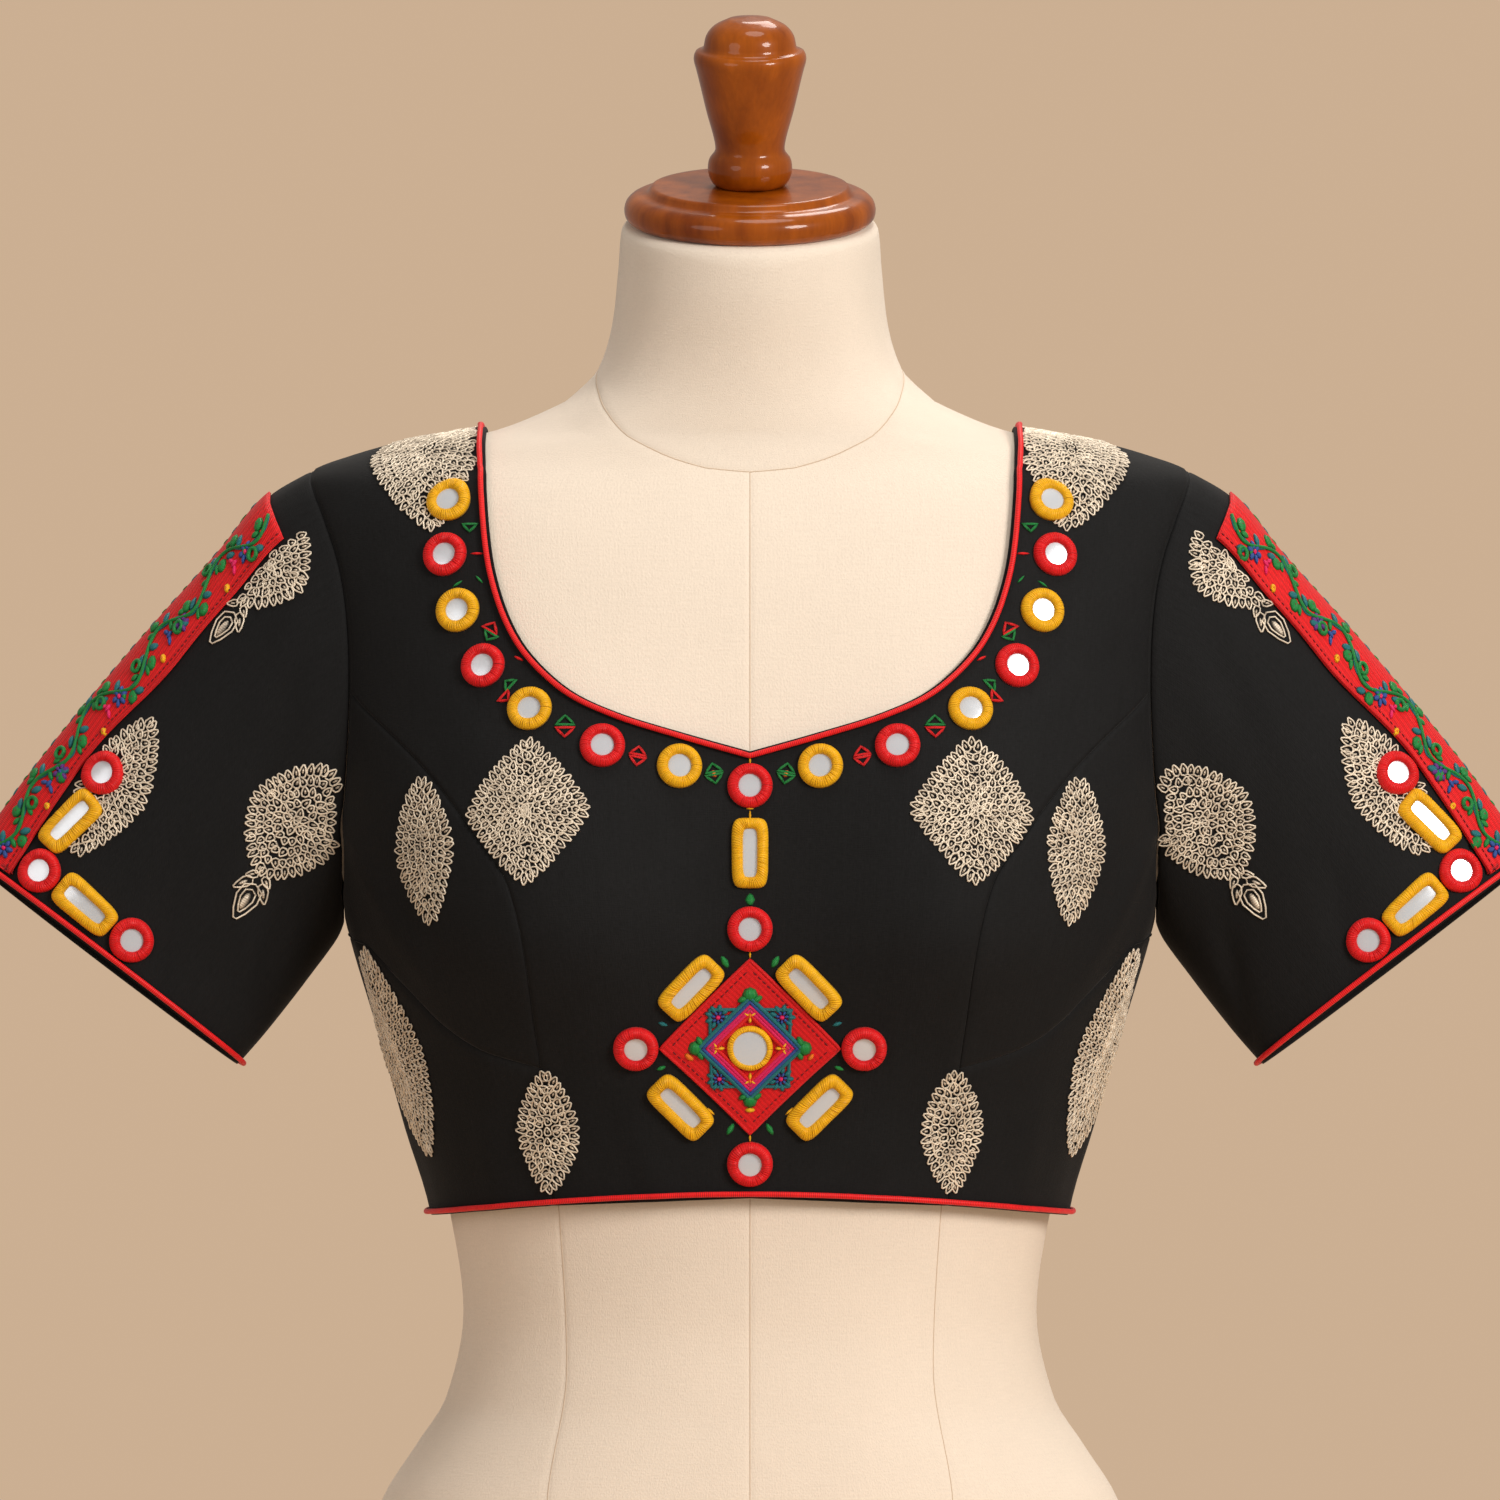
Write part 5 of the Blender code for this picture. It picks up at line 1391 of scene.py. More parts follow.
def medallion_patches(surface, place, angle, shape, keep, random, side=1):
    """One medallion, its top along angle: small teardrop loops of cord in rows, a knot inside each, and a
    bud where it has one. Loops stay only where keep, a function of (a, b), says that the cloth is clear."""
    half_width, half_length, bud, pointed = shape
    loops = rows_of_loops(half_width, half_length, pointed, random)
    if bud:
        loops = concatenate([loops, bud_loops(half_length, bud)])
    lean = angle - pi / 2
    loops = loops[keep(*chart(surface, place)(*turned(loops[:, 0], loops[:, 1], lean)))]
    middle_u, middle_v, outward, length, width = (column[:, None] for column in loops.T)
    # A teardrop: a cosine along it, and across it a sine that narrows to its tip.
    turn = circle(LOOP_POINTS)
    across = sin(turn) * (0.5 + 0.26 * cos(turn)) * width
    shift_u, shift_v = turned(-cos(turn) * length / 2, across, outward)
    out = CORD_RADIUS * 0.8 + random.uniform(0.0, 0.35, len(loops))[:, None]
    u, v = turned(middle_u + shift_u, middle_v + shift_v, lean)
    knots_u, knots_v = turned(middle_u[:, 0], middle_v[:, 0], lean)
    return [cords_on(surface, place, u, v, np.broadcast_to(out, u.shape), CORD_RADIUS),
            petals_on(surface, place, knots_u, knots_v, outward[:, 0] + lean, length[:, 0] * 0.50,
                      width[:, 0] * 0.38, 0.8, 0.02, side=side, point=0.0)]


def clear_of_pads(points, pads, reach):
    """Whether points lie off every padded mirror of a list of centres."""
    return norm(points[:, None] - np.array(pads), axis=-1).min(axis=1) > reach


def body_clear():
    """A function that tells whether places on the body lie inside the necklines and armholes, and off the
    mirrors."""
    around = linspace(pi, 0, 91)
    places = [(side * x, height) for x, height, _ in NECK_MIRRORS for _, side in SIDES]
    places += [row[2:4] for row in FRONT_MIRRORS]
    pads = [cloth_point(*body_place(*place)) for place in places]
    limits = [(on_cloth(line), armhole(sense * around), sense)
              for line, sense in ((FRONT_NECK_LINE, 1), (BACK_NECK_LINE, -1))]

    def keep(turn, run):
        points = cloth_point(turn, run)
        front = np.abs(turn) <= pi / 2
        x, height = np.abs(points[:, 0]), points[:, 2]
        clear = clear_of_pads(points, pads, PAD_CLEAR)
        for here, (neckline, hole, sense) in zip((front, ~front), limits):
            inner = np.interp(height, neckline[:, 2], neckline[:, 0], left=-99.0)
            limit = np.interp(run, hole[:, 1], hole[:, 0], left=pi / 2 + sense * 9)
            clear &= ~here | ((x > inner + EDGE_CLEAR) & ((limit - np.abs(turn)) * sense > SEAM_CLEAR))
        return clear
    return keep


def sleeve_clear(side):
    """The same for a sleeve: off its band, its chain of mirrors and its two ends."""
    surface = sleeve_point(side)
    pads = [surface(*chain_place(arc, up)) for _, _, arc, up, _ in CHAIN]

    def keep(round_by, share):
        clear = np.abs(round_by) > sleeve_round(band_half(share) + 2.0, share)
        off_pads = clear_of_pads(surface(round_by, share), pads, CHAIN_CLEAR)
        return clear & (share > 0.035) & (share < 0.955) & off_pads
    return keep


def chain_place(arc, up):
    """The place (round_by, share) that is arc from the outer line and up from the cuff."""
    share = float(cuff_share(sleeve_round(arc, 0.95), up))
    return float(sleeve_round(arc, share)), share


def sleeve_place(x, height, front=True):
    """The place on the left sleeve that the front view shows at x and height."""
    angle = linspace(0.02, pi - 0.02, 240) * (1 if front else -1)
    share = linspace(0.0, 1.0, 160)
    seen = sleeve_base(angle[None], share[:, None])
    near = (seen[..., 0] - x) ** 2 + (seen[..., 2] - height) ** 2
    row, column = np.unravel_index(np.argmin(near), near.shape)
    return float(angle[column]), float(share[row])


# ---- the sleeve's band

BAND_SPREAD = 8.5  # how much wider each half is above the mirrors
VINE_WAVE = 42.0  # length of one bend of the vine
VINE_SWING = 0.17  # how far it swings, as a share of the band's half width
VINE_ARC = 0.58  # how far it lies from the outer line, as the same share


def band_surface(side):
    """The band's outer face as a function of (arc, share, out), with arc in millimetres from the sleeve's
    outer line, positive to the front."""
    sleeve = sleeve_point(side)

    def point(arc, share, out=0.0):
        arc, share = matched(arc, share)
        return sleeve(sleeve_round(arc, share), share, np.asarray(out) + BAND_SEAT + BAND_WALL)
    return point


def band_half(share):
    """Half the band's width: it narrows a little where the mirror chain starts."""
    return BAND_HALF_WIDTH + BAND_SPREAD * (1 - ramp(share, 0.40, 0.70))


def band_reach(side):
    """Millimetres down the band's middle line, and the share of the sleeve at each."""
    share = linspace(BAND_FROM_SHOULDER, 1.0, 80)
    return lengths(band_surface(side)(0.0, share)), share


def band_patch(side):
    """Rows across the band, evenly down its middle line; its edges dip to the sleeve."""
    down, share = band_reach(side)
    rows = np.interp(linspace(0, down[-1], 70), down, share)[:, None]
    across = concatenate([[-1.0, -0.985], linspace(-0.96, 0.96, 31), [0.985, 1.0]])
    half = band_half(rows)
    arc = across * half
    grid = np.repeat(rows, len(across), axis=1)
    grid[-1] = cuff_share(sleeve_round(arc[-1], 1.0), BAND_FROM_CUFF)
    grid[-2] = np.minimum(grid[-2], grid[-1] - 0.004)
    points = band_surface(side)(arc, grid, -0.55 * bell((half - np.abs(arc)) / 0.8))
    return grid_patch(points, np.stack([arc, np.interp(grid, share, down)], axis=-1), flip=side < 0)


def band_stitches(side, random):
    """The band's two vines, one on each half: a wavy stem, leaves and rings beside it, flowers in its
    bends, sprigs, and short stitches and a cord inside each long edge."""
    surface = band_surface(side)
    down, share = band_reach(side)
    long = down[-1] - 8.0
    patches = []

    def place(arc, along):
        return arc, np.interp(along, down, share)

    def half_at(along):
        return band_half(np.interp(along, down, share))

    def cord(arc, along, radius, finish, **options):
        patches.append(cords_on(surface, place, arc, along, np.full(arc.shape, radius * 0.6), radius,
                                finish=finish, **options))

    def strand(arc, along, radius, finish):
        cord(arc[None], along[None], radius, finish, closed=False, sides=6)

    def satin(arc, along, angle, length, width, rise, finish, point):
        patches.append(petals_on(surface, place, arc, along, angle, length, width, rise, 0.0, finish=finish,
                                 side=side, point=point))

    for hand in (1, -1):
        shift = 0.0 if hand > 0 else 1.9

        def stem(along):
            swing = VINE_ARC + VINE_SWING * sin(along / VINE_WAVE * 2 * pi + shift)
            return hand * (half_at(along) * swing + 1.5 * sin(along / 11.0))

        line = linspace(2.0, long, 150)
        strand(stem(line), line, 0.80, GREEN)
        strand(stem(line) + 1.2 * sin(line / 2.6), line, 0.42, TEAL)
        at = np.arange(7.0, long, 8.2)
        at = at + random.uniform(-1.5, 1.5, len(at))
        beside = np.where(np.arange(len(at)) % 2, 1, -1)
        arc = stem(at) + beside * random.uniform(4.2, 5.6, len(at))
        ring = np.arange(len(at)) % 3 == 1
        u, v = 2.3 * cos(circle(12)), 2.3 * sin(circle(12))
        cord(arc[ring, None] + u, at[ring, None] + v, 1.0, GREEN, sides=5)
        satin(arc[~ring], at[~ring], random.uniform(-0.6, 0.6, (~ring).sum()), 6.6, 5.9, 1.2, GREEN, 0.1)
        satin(arc[~ring], at[~ring], 0.3, 1.7, 1.5, 1.35, DARK, 0.0)
        near = at + 4.1
        satin(stem(near) - beside * 3.4, near, beside * 0.9, 6.4, 3.6, 1.1, TEAL, 0.4)
        satin(stem(near) + beside * 3.0, near - 1.0, -beside * 0.8 + 1.2, 5.4, 3.0, 1.0, GREEN, 0.4)
        for number, along in enumerate(np.arange(VINE_WAVE * 0.45, long, VINE_WAVE)):
            ray = circle(6) + random.uniform(0, 1)
            centre = float(stem(along)) + hand * 3.0
            first, second = ((BLUE, PINK), (PURPLE, BLUE))[number % 2]
            leaves = np.array([[0.0, 7.5, 1.6], [2.5, 8.6, 0.5], [-2.5, 8.6, 2.6]]).T
            satin(centre + 2.6 * cos(ray), along + 2.6 * sin(ray), ray, 4.2, 2.7, 1.15, first, 0.1)
            satin(centre, along, np.zeros(1), 2.6, 2.4, 1.5, second, 0.0)
            satin(centre - hand * 1.5 + leaves[0], along + leaves[1], leaves[2], 4.4, 2.3, 1.05, second, 0.3)
            satin(centre + hand * 4.5, along + 15.0, np.zeros(1), 4.2, 3.4, 1.2, YELLOW, 0.1)
            satin(centre + hand * 4.5, along + 15.0, np.zeros(1), 1.8, 1.6, 1.5, ORANGE, 0.0)
        sprig = np.arange(9.0, long, 13.0)
        satin(hand * 2.6, sprig, hand * 0.9, 5.6, 2.8, 0.4, TEAL, 0.4)
        satin(hand * 2.4, sprig + 6.0, -hand * 0.7, 4.6, 2.6, 0.4, GREEN, 0.4)
        border = linspace(0.6, down[-1] - 5.2, 150)
        strand(hand * (half_at(border) - 0.6), border, 0.5, RED)
        at = np.arange(2.0, long + 3.0, 2.6)
        satin(hand * (half_at(at) - 3.0), at, pi / 2, 2.0, 0.6, 0.45, DARK, 0.1)
    return patches


# ---- what a user can change


def colour_property(name, description, default):
    return FloatVectorProperty(name=name, description=description, default=default, subtype="COLOR",
                               size=3, min=0.0, max=1.0)


def length_property(name, description, default, low, high):
    return FloatProperty(name=name, description=description, default=default, min=low, max=high,
                         subtype="DISTANCE", unit="LENGTH")


class CholiSizes(PropertyGroup):
    crease: FloatProperty(name="Crease depth", description="How deep the cloth's soft creases are",
                          default=1.0, min=0.0, max=1.5, subtype="FACTOR")
    distance: length_property("Camera distance", "From the camera to the blouse", 5.0, 2.0, 10.0)
    eye: length_property("Camera height", "Height of the level camera above the floor", 0.4259, 0.1, 2.0)
    view_width: length_property("View width", "How wide the view is at the form's middle", 0.630, 0.2, 3.0)
    lamp: FloatProperty(name="Key lamp", description="Power of the large front lamp, in watts",
                        default=88.0, min=0.0, soft_max=1000.0, unit="POWER")


class CholiColours(PropertyGroup):
    black: colour_property("Black cloth", "Base colour of the blouse's cloth", (0.0046, 0.0047, 0.0052))
    red: colour_property("Red thread", "Piping, red mirror frames and red grounds", (0.84, 0.009, 0.012))
    yellow: colour_property("Yellow thread", "Yellow mirror frames and small dots", (0.98, 0.51, 0.006))
    orange: colour_property("Orange thread", "Edging of the diamond patch", (0.92, 0.20, 0.008))
    green: colour_property("Green thread", "Leaves and stems", (0.008, 0.25, 0.048))
    teal: colour_property("Teal thread", "Star and tendrils", (0.010, 0.17, 0.19))
    blue: colour_property("Blue thread", "Star and tendrils", (0.030, 0.085, 0.34))
    pink: colour_property("Pink thread", "Small flowers", (0.82, 0.012, 0.13))
    purple: colour_property("Purple thread", "Small flowers", (0.13, 0.03, 0.24))
    dark: colour_property("Dark red thread", "Stitched borders on the red grounds", (0.16, 0.004, 0.010))
    zari: colour_property("Zari cord", "Antique-gold medallions", (1.0, 0.86, 0.69))
    canvas: colour_property("Canvas", "Cover of the dress form", (0.862, 0.755, 0.640))
    wood: colour_property("Wood", "Neck plate and finial", (0.33, 0.070, 0.002))
    backdrop: colour_property("Backdrop", "Plain surroundings and floor", (0.60, 0.43, 0.29))


def colours():
    return bpy.context.scene.choli_colours


THREADS = ("green", "teal", "blue", "pink", "purple", "yellow", "dark", "red", "orange")
GREEN, TEAL, BLUE, PINK, PURPLE, YELLOW, DARK, RED, ORANGE = range(9)


def thread_set():
    """The thread colours of the small stitches, in the order of their finish numbers."""
    return [bpy.data.materials.get(f"stitch_{name}")
            or thread_finish(f"stitch_{name}", getattr(colours(), name)) for name in THREADS]


# ---- the diamond patch

STITCH_SEAT = DIAMOND_WALL + 0.3
QUARTER = pi / 4
# Squares of cord, one inside another.
DIAMOND_SQUARES = (  # middle to corner, turn, radius of the cord, finish, lift
    (DIAMOND_HALF - 0.6, 0, 0.8, RED, -0.9), (22.8, QUARTER, 0.75, TEAL, 0), (21.2, 0, 0.95, TEAL, 0.3),
    (19.4, 0, 0.85, BLUE, 0.3), (17.6, 0, 0.9, PINK, 0), (15.8, 0, 0.9, PINK, 0.1), (14, 0, 0.9, RED, 0.1),
)
# Groups of petals in each quarter of the patch.
DIAMOND_PETALS = (
    # turn from the corner, from the patch's middle, how many, their reach, turn of the group, whether
    # it turns with the corner, turn of each petal, length, width, rise, finish, how pointed
    (QUARTER, 18.2, 9, 3.7, 0, 0, 0, 3.9, 2.4, 1.4, TEAL, 0.3),
    (QUARTER, 18.2, 7, 1.9, 0.2, 0, 0, 2.4, 1.5, 1.5, BLUE, 0.2),
    (QUARTER, 18.2, 1, 0, 0, 0, 0, 2.6, 2.4, 1.8, PINK, 0),
    (0, 22.2, 1, 0, 0, 0, 0, 6.4, 6.4, 2.1, GREEN, 0),
    (0, 20.4, 2, 2.8, pi / 2, 1, 0.5, 5, 3, 1.9, GREEN, 0.3),
    (0, 13.4, 3, 1.5, pi / 3, 1, 0, 3.6, 1.7, 1.7, YELLOW, 0.5),
    (0, 13.6, 1, 0, 0, 1, 0, 4.4, 1.3, 1.8, ORANGE, 0.6),
)
# Single petals on the red ground.
DIAMOND_DOTS = (  # sideways, up, length, width, rise, finish, turn
    (0, -26.2, 4.6, 2.4, 1.3, YELLOW, 0), (-25, -3.6, 4.6, 2.8, 1.2, ORANGE, -0.7),
    (25, -3.6, 3.6, 2.2, 1.2, ORANGE, -2.2),
)
DASH_COUNT = 17


def diamond_ground(place):
    """A square grid on its corner, whose edges dip to the cloth."""
    p, q = np.meshgrid(linspace(-1, 1, 45), linspace(-1, 1, 45))
    u, v = DIAMOND_HALF * (p - q) / 2, DIAMOND_HALF * (p + q) / 2
    out = DIAMOND_WALL + 0.25 - 0.6 * bell((DIAMOND_HALF - (np.abs(u) + np.abs(v))) / 1.1)
    return grid_patch(lay(cloth_point, place, u, v, out), np.stack([u + v, u - v], axis=-1))


def diamond_stitches(place):
    """Squares of cord for the star, short stitches inside the border, petals and knots between."""
    def petals(u, v, angle, length, width, rise, finish, point):
        return petals_on(cloth_point, place, u, v, angle, length, width, rise, STITCH_SEAT - 0.1,
                         finish=finish, point=point)

    patches = []
    share = np.arange(96) / 24
    for half, turn, radius, finish, lift in DIAMOND_SQUARES:
        corner = np.arange(5) * pi / 2 + turn
        u, v = (half * np.interp(share, np.arange(5), part(corner))[None] for part in (cos, sin))
        out = np.full(u.shape, STITCH_SEAT + radius * 0.5 + lift)
        patches.append(cords_on(cloth_point, place, u, v, out, radius, finish=finish, sides=6))
    dash = linspace(0.06, 0.94, DASH_COUNT)
    for corner in circle(4):
        start, end = (np.array(turned(DIAMOND_HALF - 4.2, 0.0, corner + after)) for after in (0, pi / 2))
        u, v = start[:, None] + (end - start)[:, None] * dash
        patches.append(petals(u, v, math.atan2(*(end - start)[::-1]), 2.1, 0.6, 0.45, DARK, 0.1))
    for corner in circle(4):
        for aside, away, count, reach, turn, follows, aim, *shape in DIAMOND_PETALS:
            u, v = turned(away, 0.0, corner + aside)
            ray = circle(count) + turn + corner * follows
            patches.append(petals(u + reach * cos(ray), v + reach * sin(ray), ray + aim, *shape))
    for u, v, length, width, rise, finish, turn in DIAMOND_DOTS:
        patches.append(petals(u, v, turn, length, width, rise, finish, 0.3))
    return patches


# ---- the small stitches of the body

# Small motifs beside the neckline, on one side.
NECK_STITCHES = (  # from the centre line, height, degrees, length, width, finish
    (112.5, 506.5, 0, 6.2, 1.3, RED), (120.5, 494, -35, 5.2, 1.3, GREEN), (111.5, 495.8, 45, 5, 1.2, GREEN),
    (95, 463, 25, 5, 1.4, RED), (15, 415.6, 60, 3.4, 3, ORANGE), (46.4, 422.6, 60, 2.6, 2.2, DARK),
    (106, 473.6, 110, 3, 1.6, DARK), (76, 434.6, 0, 3.6, 1.2, DARK), (99.5, 449.6, 40, 2.6, 1.4, DARK),
)
# Triangles of cord there: two that share a base make a square.
NECK_TRIANGLES = (
    # from the centre line, height, degrees its tip points, from its base's middle to a corner, finish
    (115.6, 518.5, -90, 3.3, GREEN), (107, 474.6, 120, 3.8, RED), (106.2, 473.4, -60, 3.4, GREEN),
    (98, 451.6, 40, 3.3, GREEN), (101.2, 447.6, 220, 3.3, RED), (76, 435.4, 90, 4, GREEN),
    (76, 434.2, -90, 4, RED), (46.4, 423.2, 100, 3.5, RED), (46.4, 422.2, -80, 3.5, RED),
    (15, 416.2, 80, 3.7, GREEN), (15, 415.2, -100, 3.7, GREEN),
)
# Small motifs on the centre line, and on one side of it.
CENTRE_STITCHES = (
    (0, 398.6, 90, 4.8, 1.1, YELLOW), (0, 401.4, 0, 3.4, 1, YELLOW), (0, 421, 90, 4.2, 1, YELLOW),
    (0, 364.2, 90, 5.6, 4.2, GREEN), (0, 342, 90, 3.6, 1, YELLOW), (0, 267, 90, 4, 1, YELLOW),
)
BESIDE_STITCHES = (
    (10.5, 339, 60, 6, 3, GREEN), (8, 270.6, 120, 6, 2.6, GREEN), (36, 314, 20, 4.4, 2, TEAL),
    (36.5, 296, 160, 4.4, 2, GREEN), (16, 278, 45, 4.6, 1.2, YELLOW),
)


def small_stitches():
    """One petal for each motif, and cords round the triangles, three points to a side."""
    def placed(table, sides=(1, -1)):
        return [(side * x, height, math.radians(degrees if side > 0 else 180 - degrees), *rest)
                for x, height, degrees, *rest in table for side in sides]

    motifs = placed(NECK_STITCHES) + placed(CENTRE_STITCHES, (1,)) + placed(BESIDE_STITCHES)
    patches = [petals_on(cloth_point, body_place(x, height), np.zeros(1), 0.0, angle, long, wide, 0.8, -0.05,
                         finish=finish, point=0.6) for x, height, angle, long, wide, finish in motifs]
    corner = np.repeat([0.0, pi / 2, -pi / 2], 3)
    after, share = np.roll(corner, -3), np.tile([0.0, 1 / 3, 2 / 3], 3)
    for x, height, aim, reach, finish in placed(NECK_TRIANGLES):
        u, v = (reach * (turn(corner + aim) * (1 - share) + turn(after + aim) * share)[None]
                for turn in (cos, sin))
        patches.append(cords_on(cloth_point, body_place(x, height), u, v, np.full((1, 9), 0.3), 0.62,
                                finish=finish, sides=5))
    return patches


# ---- operators


class CholiForm(Operator):
    """The padded torso in seamed canvas"""
    bl_idname = "choli.form"
    bl_label = "Dress form"

    def execute(self, context):
        form_torso()
        return {"FINISHED"}


class CholiWood(Operator):
    """The turned neck plate and finial in polished wood"""
    bl_idname = "choli.wood"
    bl_label = "Turned wood"

    def execute(self, context):
        material = wood_finish("turned_wood", colours().wood)
        plate_top = NECK_PLATE_PROFILE[-1][1]
        turned_piece("neck_plate_turned", NECK_PLATE_PROFILE, plate_top, 0.3, "form_neck_plate", material)
        turned_piece("finial_turned", FINIAL_PROFILE, FINIAL_TOP, plate_top + 0.4, "form_finial", material)
        return {"FINISHED"}


class CholiBody(Operator):
    """The front, cup, under-bust and back panels as thin shells that meet at their seams"""
    bl_idname = "choli.body"
    bl_label = "Body panels"

    def execute(self, context):
        material = cloth_finish("black_cloth", colours().black)
        halves = [panel_patch(front_lines(), side, ("last", "top")) for _, side in SIDES]
        panels = [("front_centre", "front_centre", halves)]
        for name, side in SIDES:
            for cut, lines, border in (("cup", cup_lines, "bottom"), ("under_bust", under_bust_lines, "top"),
                                       ("back", back_lines, "top")):
                patch = panel_patch(lines(), side, ("first", "last", border))
                panels.append((cut, f"{cut}_{name}", [patch]))
        for cut, node, patches in panels:
            piece = add_shell(f"{node}_cloth", patches, material, SHELL, [node],
                              weld=patches is halves)
        add_piece("seam_folds", seam_cords(), [material])
        return {"FINISHED"}


class CholiSleeves(Operator):
    """The two set-in sleeves with their soft creases"""
    bl_idname = "choli.sleeves"
    bl_label = "Sleeves"

    def execute(self, context):
        material = cloth_finish("sleeve_cloth", colours().black)
        for name, side in SIDES:
            sleeve_shell(name, side, material)
        return {"FINISHED"}


class CholiBands(Operator):
    """The red embroidered band down the outer line of each sleeve"""
    bl_idname = "choli.bands"
    bl_label = "Sleeve bands"

    def execute(self, context):
        ground, threads = band_finish("band_ground", colours().red), thread_set()
        random = np.random.default_rng(31)
        for name, side in SIDES:
            piece = add_shell(f"band_{name}_ground", [band_patch(side)], ground,
                              BAND_WALL, [f"sleeve_band_{name}"])
            vine = add_piece(f"band_{name}_vine", band_stitches(side, random), threads)
        return {"FINISHED"}


class CholiPiping(Operator):
    """The red piping round the neck, the hem and both cuffs"""
    bl_idname = "choli.piping"
    bl_label = "Piping"

    def execute(self, context):
        material = thread_finish("red_piping", colours().red, pitch=0.8, depth=0.00004, roughness=0.45)
        cords = [("neck_piping_cord", "neck_piping", neck_piping_patch()),
                 ("hem_piping_cord", "hem_piping", hem_piping_patch())]
        cords += [(f"cuff_{name}_piping_cord", f"cuff_piping_{name}", cuff_piping_patch(side))
                  for name, side in SIDES]
        for name, node, patch in cords:
            add_piece(name, [patch], [material], [node])
        return {"FINISHED"}


class CholiMirrors(Operator):
    """The padded mirrors of the front and of the sleeves"""
    bl_idname = "choli.mirrors"
    bl_label = "Padded mirrors"

    def execute(self, context):
        looks = {name: thread_finish(f"mirror_{name}_thread", getattr(colours(), name))
                 for name in ("red", "yellow")}
        random = np.random.default_rng(7)
        glass = []

        def add(node, kind, place, degrees, colour, surface=cloth_point, seat=PAD_SEAT, side=1, **pad):
            where = surface, place, kind, math.radians(degrees), seat
            add_piece(f"{node}_pad", [pad_patch(*where, random, side, **pad)], [looks[colour]],
                      [node])
            glass.append(glass_patch(*where, side, pad.get("wide", PAD_WIDE)))

        for number, (x, height, colour) in enumerate(NECK_MIRRORS):
            for name, side in SIDES if x else (("centre", 1),):
                node = f"mirror_neck_{number}_{name}" if x else "mirror_neck_centre"
                add(node, "ring", body_place(side * x, height), 0, colour)
        for name, kind, x, height, slope in FRONT_MIRRORS:
            add(f"mirror_{name}", kind, body_place(x, height), slope, KIND_COLOURS[kind])
        add("mirror_diamond_centre", "ring", body_place(0.0, DIAMOND_HEIGHT), 0, "yellow",
            seat=DIAMOND_WALL + 0.35 + PAD_SEAT, wide=2.5, crown=2.0)
        for link, kind, arc, up, slope in CHAIN:
            for name, side in SIDES:
                add(f"sleeve_{link}_{name}", kind, chain_place(arc, up), slope, KIND_COLOURS[kind],
                    sleeve_point(side), side=side)
        add_piece("mirror_glass_plates", glass, [mirror_finish("mirror_glass")])
        return {"FINISHED"}


class CholiDiamond(Operator):
    """The red diamond patch with its corded star, knots and small flowers"""
    bl_idname = "choli.diamond"
    bl_label = "Diamond patch"

    def execute(self, context):
        place = body_place(0.0, DIAMOND_HEIGHT)
        finish = band_finish("diamond_ground", colours().red)
        piece = add_shell("diamond_ground", [diamond_ground(place)], finish,
                          DIAMOND_WALL, ["diamond_patch"])
        stitches = add_piece("diamond_stitches", diamond_stitches(place), thread_set())
        return {"FINISHED"}


class CholiStitches(Operator):
    """The small coloured stitches along the neckline and the centre front"""
    bl_idname = "choli.stitches"
    bl_label = "Small stitches"

    def execute(self, context):
        add_piece("neckline_stitches", small_stitches(), thread_set())
        return {"FINISHED"}


class CholiZari(Operator):
    """The antique-gold medallions of looped cord on the body and the sleeves"""
    bl_idname = "choli.zari"
    bl_label = "Gold medallions"

    def execute(self, context):
        material = zari_finish("zari_cord", colours().zari)

        def add(name, seed, keep, medallions):
            random, patches = np.random.default_rng(seed), []
            for surface, place, degrees, shape, reach, side in medallions:
                place = walked_chart(surface, place, shape[1] + shape[2] + 8)
                aim = heading(surface, place, degrees, reach)
                patches += medallion_patches(surface, place, aim, shape, keep, random, side)
            add_piece(name, patches, [material])

        keep = body_clear()
        for region, back in (("front", False), ("back", True)):
            add(f"zari_{region}", 11 + back, keep,
                [(cloth_point, body_place(side * x, height, back), side * degrees, shape, shape[1], 1)
                 for on_back, x, height, degrees, *shape in BODY_MEDALLIONS if on_back == back
                 for _, side in SIDES])
        for name, side in SIDES:
            add(f"zari_sleeve_{name}", 23 + side, sleeve_clear(side),
                [(sleeve_point(side), sleeve_place(x, height, front), side * degrees, shape, 10.0, side)
                 for front in (True, False) for x, height, degrees, *shape in SLEEVE_MEDALLIONS])
        return {"FINISHED"}


LAMPS = (  # name, place, size, share of the key lamp's power, colour
    ("key", (2.3, -2.6, 1.7), 1.3, 1.0, (1.0, 0.96, 0.90)),
    ("fill", (-2.4, -3.0, 1.3), 2.0, 0.19, (1.0, 0.96, 0.92)),
    ("top", (0.3, -0.6, 2.9), 1.2, 0.19, (1.0, 0.97, 0.93)),
    ("back", (0.4, 1.7, 3.2), 1.4, 0.4, (1.0, 0.95, 0.9)),
)
LAMP_AIM = np.array([0.0, 0.0, 0.42])
FLOOR_RINGS, FLOOR_SIDES, FLOOR_REACH = 24, 96, 1800.0
LIT_COLOUR, LIT_STRENGTH = (0.88, 0.79, 0.70, 1.0), 0.40


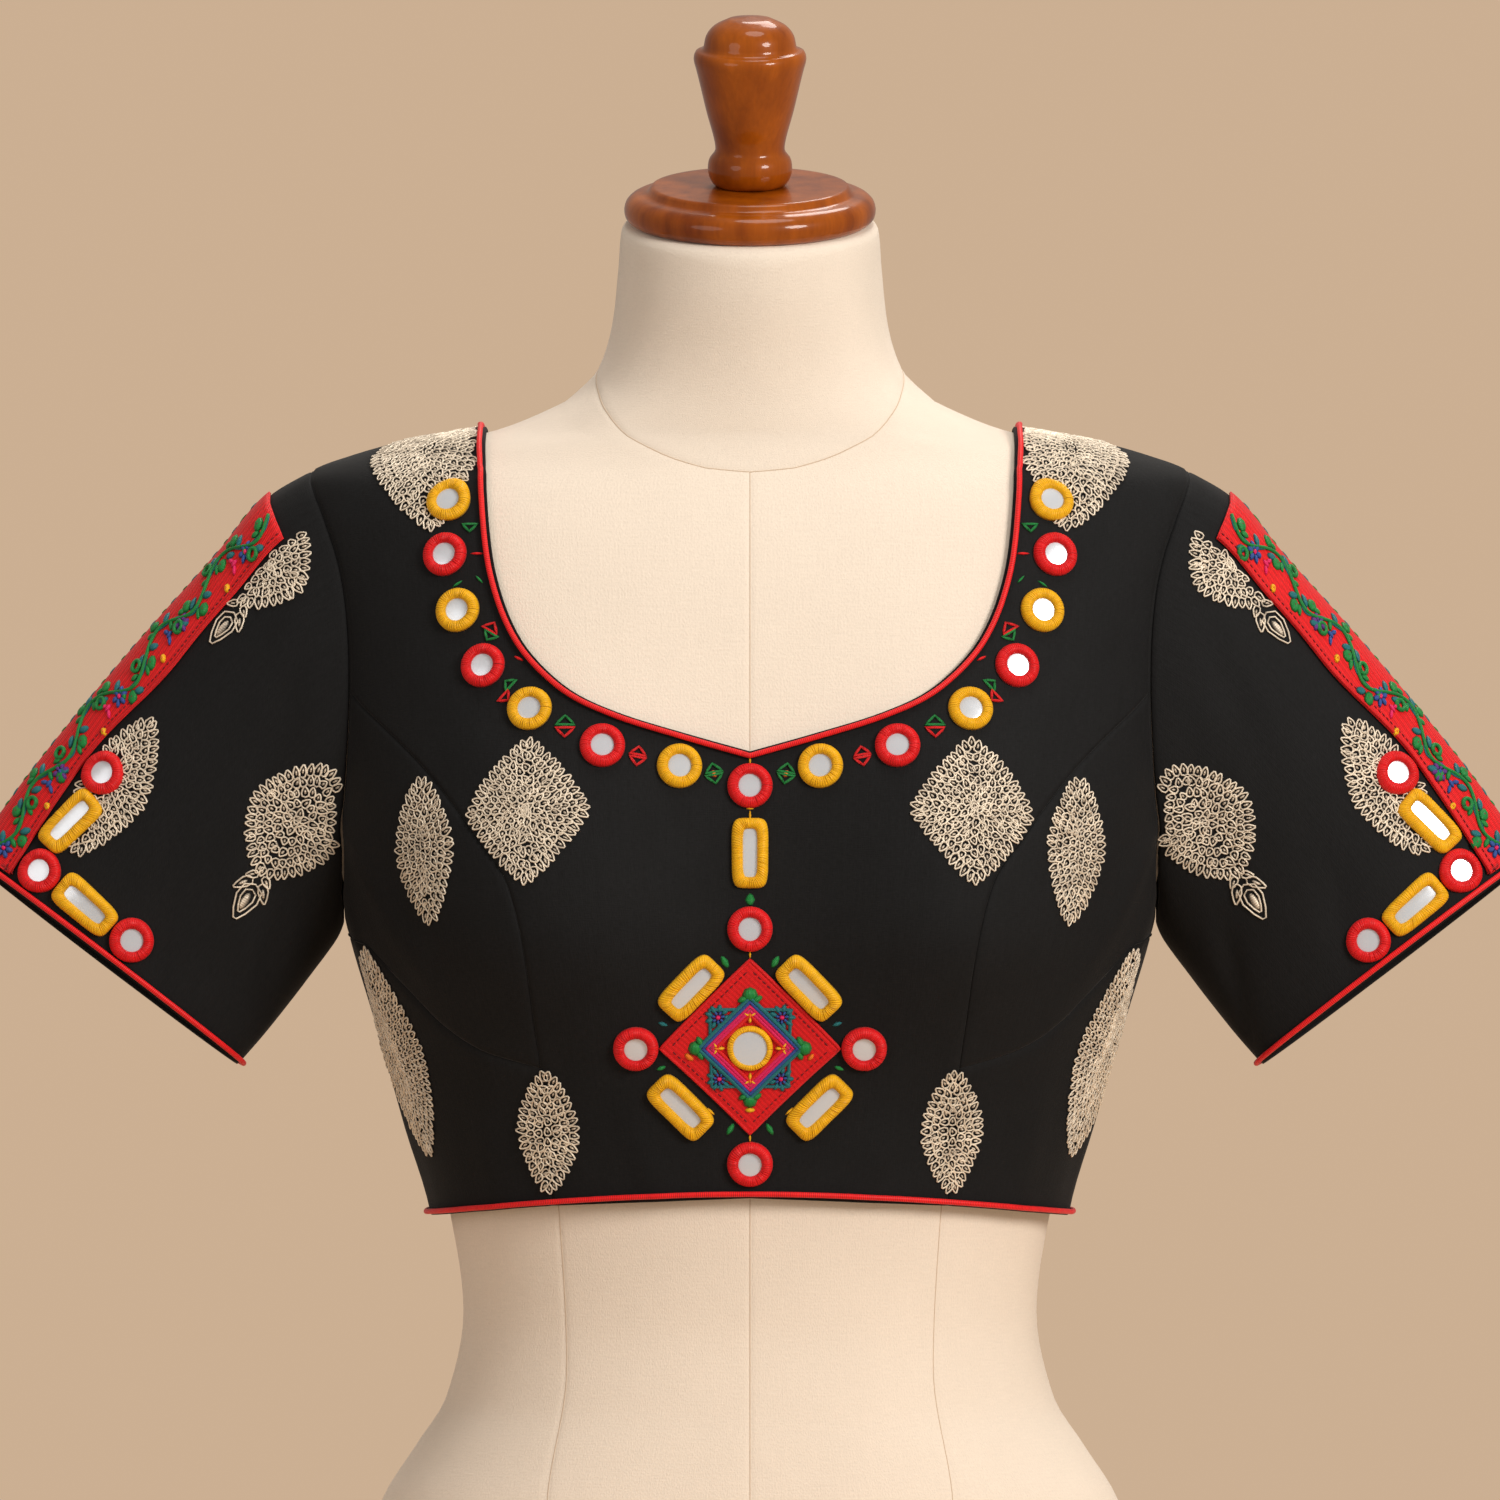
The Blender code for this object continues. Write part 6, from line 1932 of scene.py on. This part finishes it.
class CholiStage(Operator):
    """The floor, the lamps, the plain surroundings and the level camera"""
    bl_idname = "choli.stage"
    bl_label = "Stage"

    def execute(self, context):
        scene, size = context.scene, sizes()
        self.floor(colours().backdrop)
        self.world(scene, colours().backdrop)
        for name, place, wide, share, colour in LAMPS:
            data = bpy.data.lights.new(name, "AREA")
            data.shape, data.size, data.energy, data.color = "DISK", wide, size.lamp * share, colour
            lamp = bpy.data.objects.new(name, data)
            scene.collection.objects.link(lamp)
            lamp.location = place
            lamp.rotation_euler = Vector(LAMP_AIM - place).to_track_quat("-Z", "Y").to_euler()
        data = bpy.data.cameras.new("camera")
        camera = bpy.data.objects.new("camera", data)
        scene.collection.objects.link(camera)
        camera.location = (0.0, -size.distance, size.eye)
        camera.rotation_euler = (pi / 2, 0.0, 0.0)
        data.sensor_width = 36.0
        data.lens = data.sensor_width * size.distance / size.view_width
        data.clip_end = 60.0
        scene.camera = camera
        scene.view_settings.view_transform = "Standard"
        return {"FINISHED"}

    def floor(self, colour):
        """A disc of rings, 1.8 m across its radius."""
        reach = linspace(0.02, 1.0, FLOOR_RINGS)[:, None] ** 1.3 * FLOOR_REACH
        angle = circle(FLOOR_SIDES)
        points = np.stack(matched(reach * cos(angle), reach * sin(angle), 0.0), axis=-1).reshape(-1, 3)
        faces = grid_faces(FLOOR_RINGS, FLOOR_SIDES, closed=True)[:, ::-1].tolist()
        faces.append(list(range(FLOOR_SIDES)))
        mesh = bpy.data.meshes.new("floor")
        mesh.from_pydata((points * MM).tolist(), [], faces)
        mesh.materials.append(floor_finish("floor", colour))
        floor = bpy.data.objects.new("floor", mesh)
        bpy.context.scene.collection.objects.link(floor)

    def world(self, scene, colour):
        """Plain surroundings: lamps and mirrors see a brighter, paler room than the camera."""
        world = bpy.data.worlds.new("surroundings")
        scene.world = world
        world.use_nodes = True
        tree = world.node_tree
        shown = tree.nodes["Background"]
        shown.inputs["Color"].default_value = (*colour, 1.0)
        lit, path, mixed = (tree.nodes.new(f"ShaderNode{kind}")
                            for kind in ("Background", "LightPath", "MixShader"))
        lit.inputs["Color"].default_value = LIT_COLOUR
        lit.inputs["Strength"].default_value = LIT_STRENGTH
        sources = path.outputs["Is Camera Ray"], lit.outputs[0], shown.outputs[0]
        for source, socket in zip(sources, mixed.inputs):
            tree.links.new(source, socket)
        tree.links.new(mixed.outputs[0], tree.nodes["World Output"].inputs[0])


class CholiPanel(Panel):
    """Sizes, colours and one button for each group of pieces"""
    bl_idname = "VIEW3D_PT_choli"
    bl_label = "Choli blouse"
    bl_space_type = "VIEW_3D"
    bl_region_type = "UI"
    bl_category = "Choli"

    def draw(self, context):
        column = self.layout.column()
        for group in (context.scene.choli_sizes, context.scene.choli_colours):
            for name in group.__annotations__:
                column.prop(group, name)
        for operator in PIECES:
            column.operator(operator.bl_idname)


PIECES = (CholiForm, CholiWood, CholiBody, CholiSleeves, CholiBands, CholiPiping, CholiMirrors,
          CholiDiamond, CholiStitches, CholiZari, CholiStage)
CLASSES = (CholiSizes, CholiColours, *PIECES, CholiPanel)


def register():
    for one in CLASSES:
        bpy.utils.register_class(one)
    bpy.types.Scene.choli_sizes = PointerProperty(type=CholiSizes)
    bpy.types.Scene.choli_colours = PointerProperty(type=CholiColours)


def unregister():
    del bpy.types.Scene.choli_sizes
    del bpy.types.Scene.choli_colours
    for one in reversed(CLASSES):
        bpy.utils.unregister_class(one)


def main():
    register()
    for operator in PIECES:
        group, name = operator.bl_idname.split(".")
        getattr(getattr(bpy.ops, group), name)()


if __name__ == "__main__":
    main()
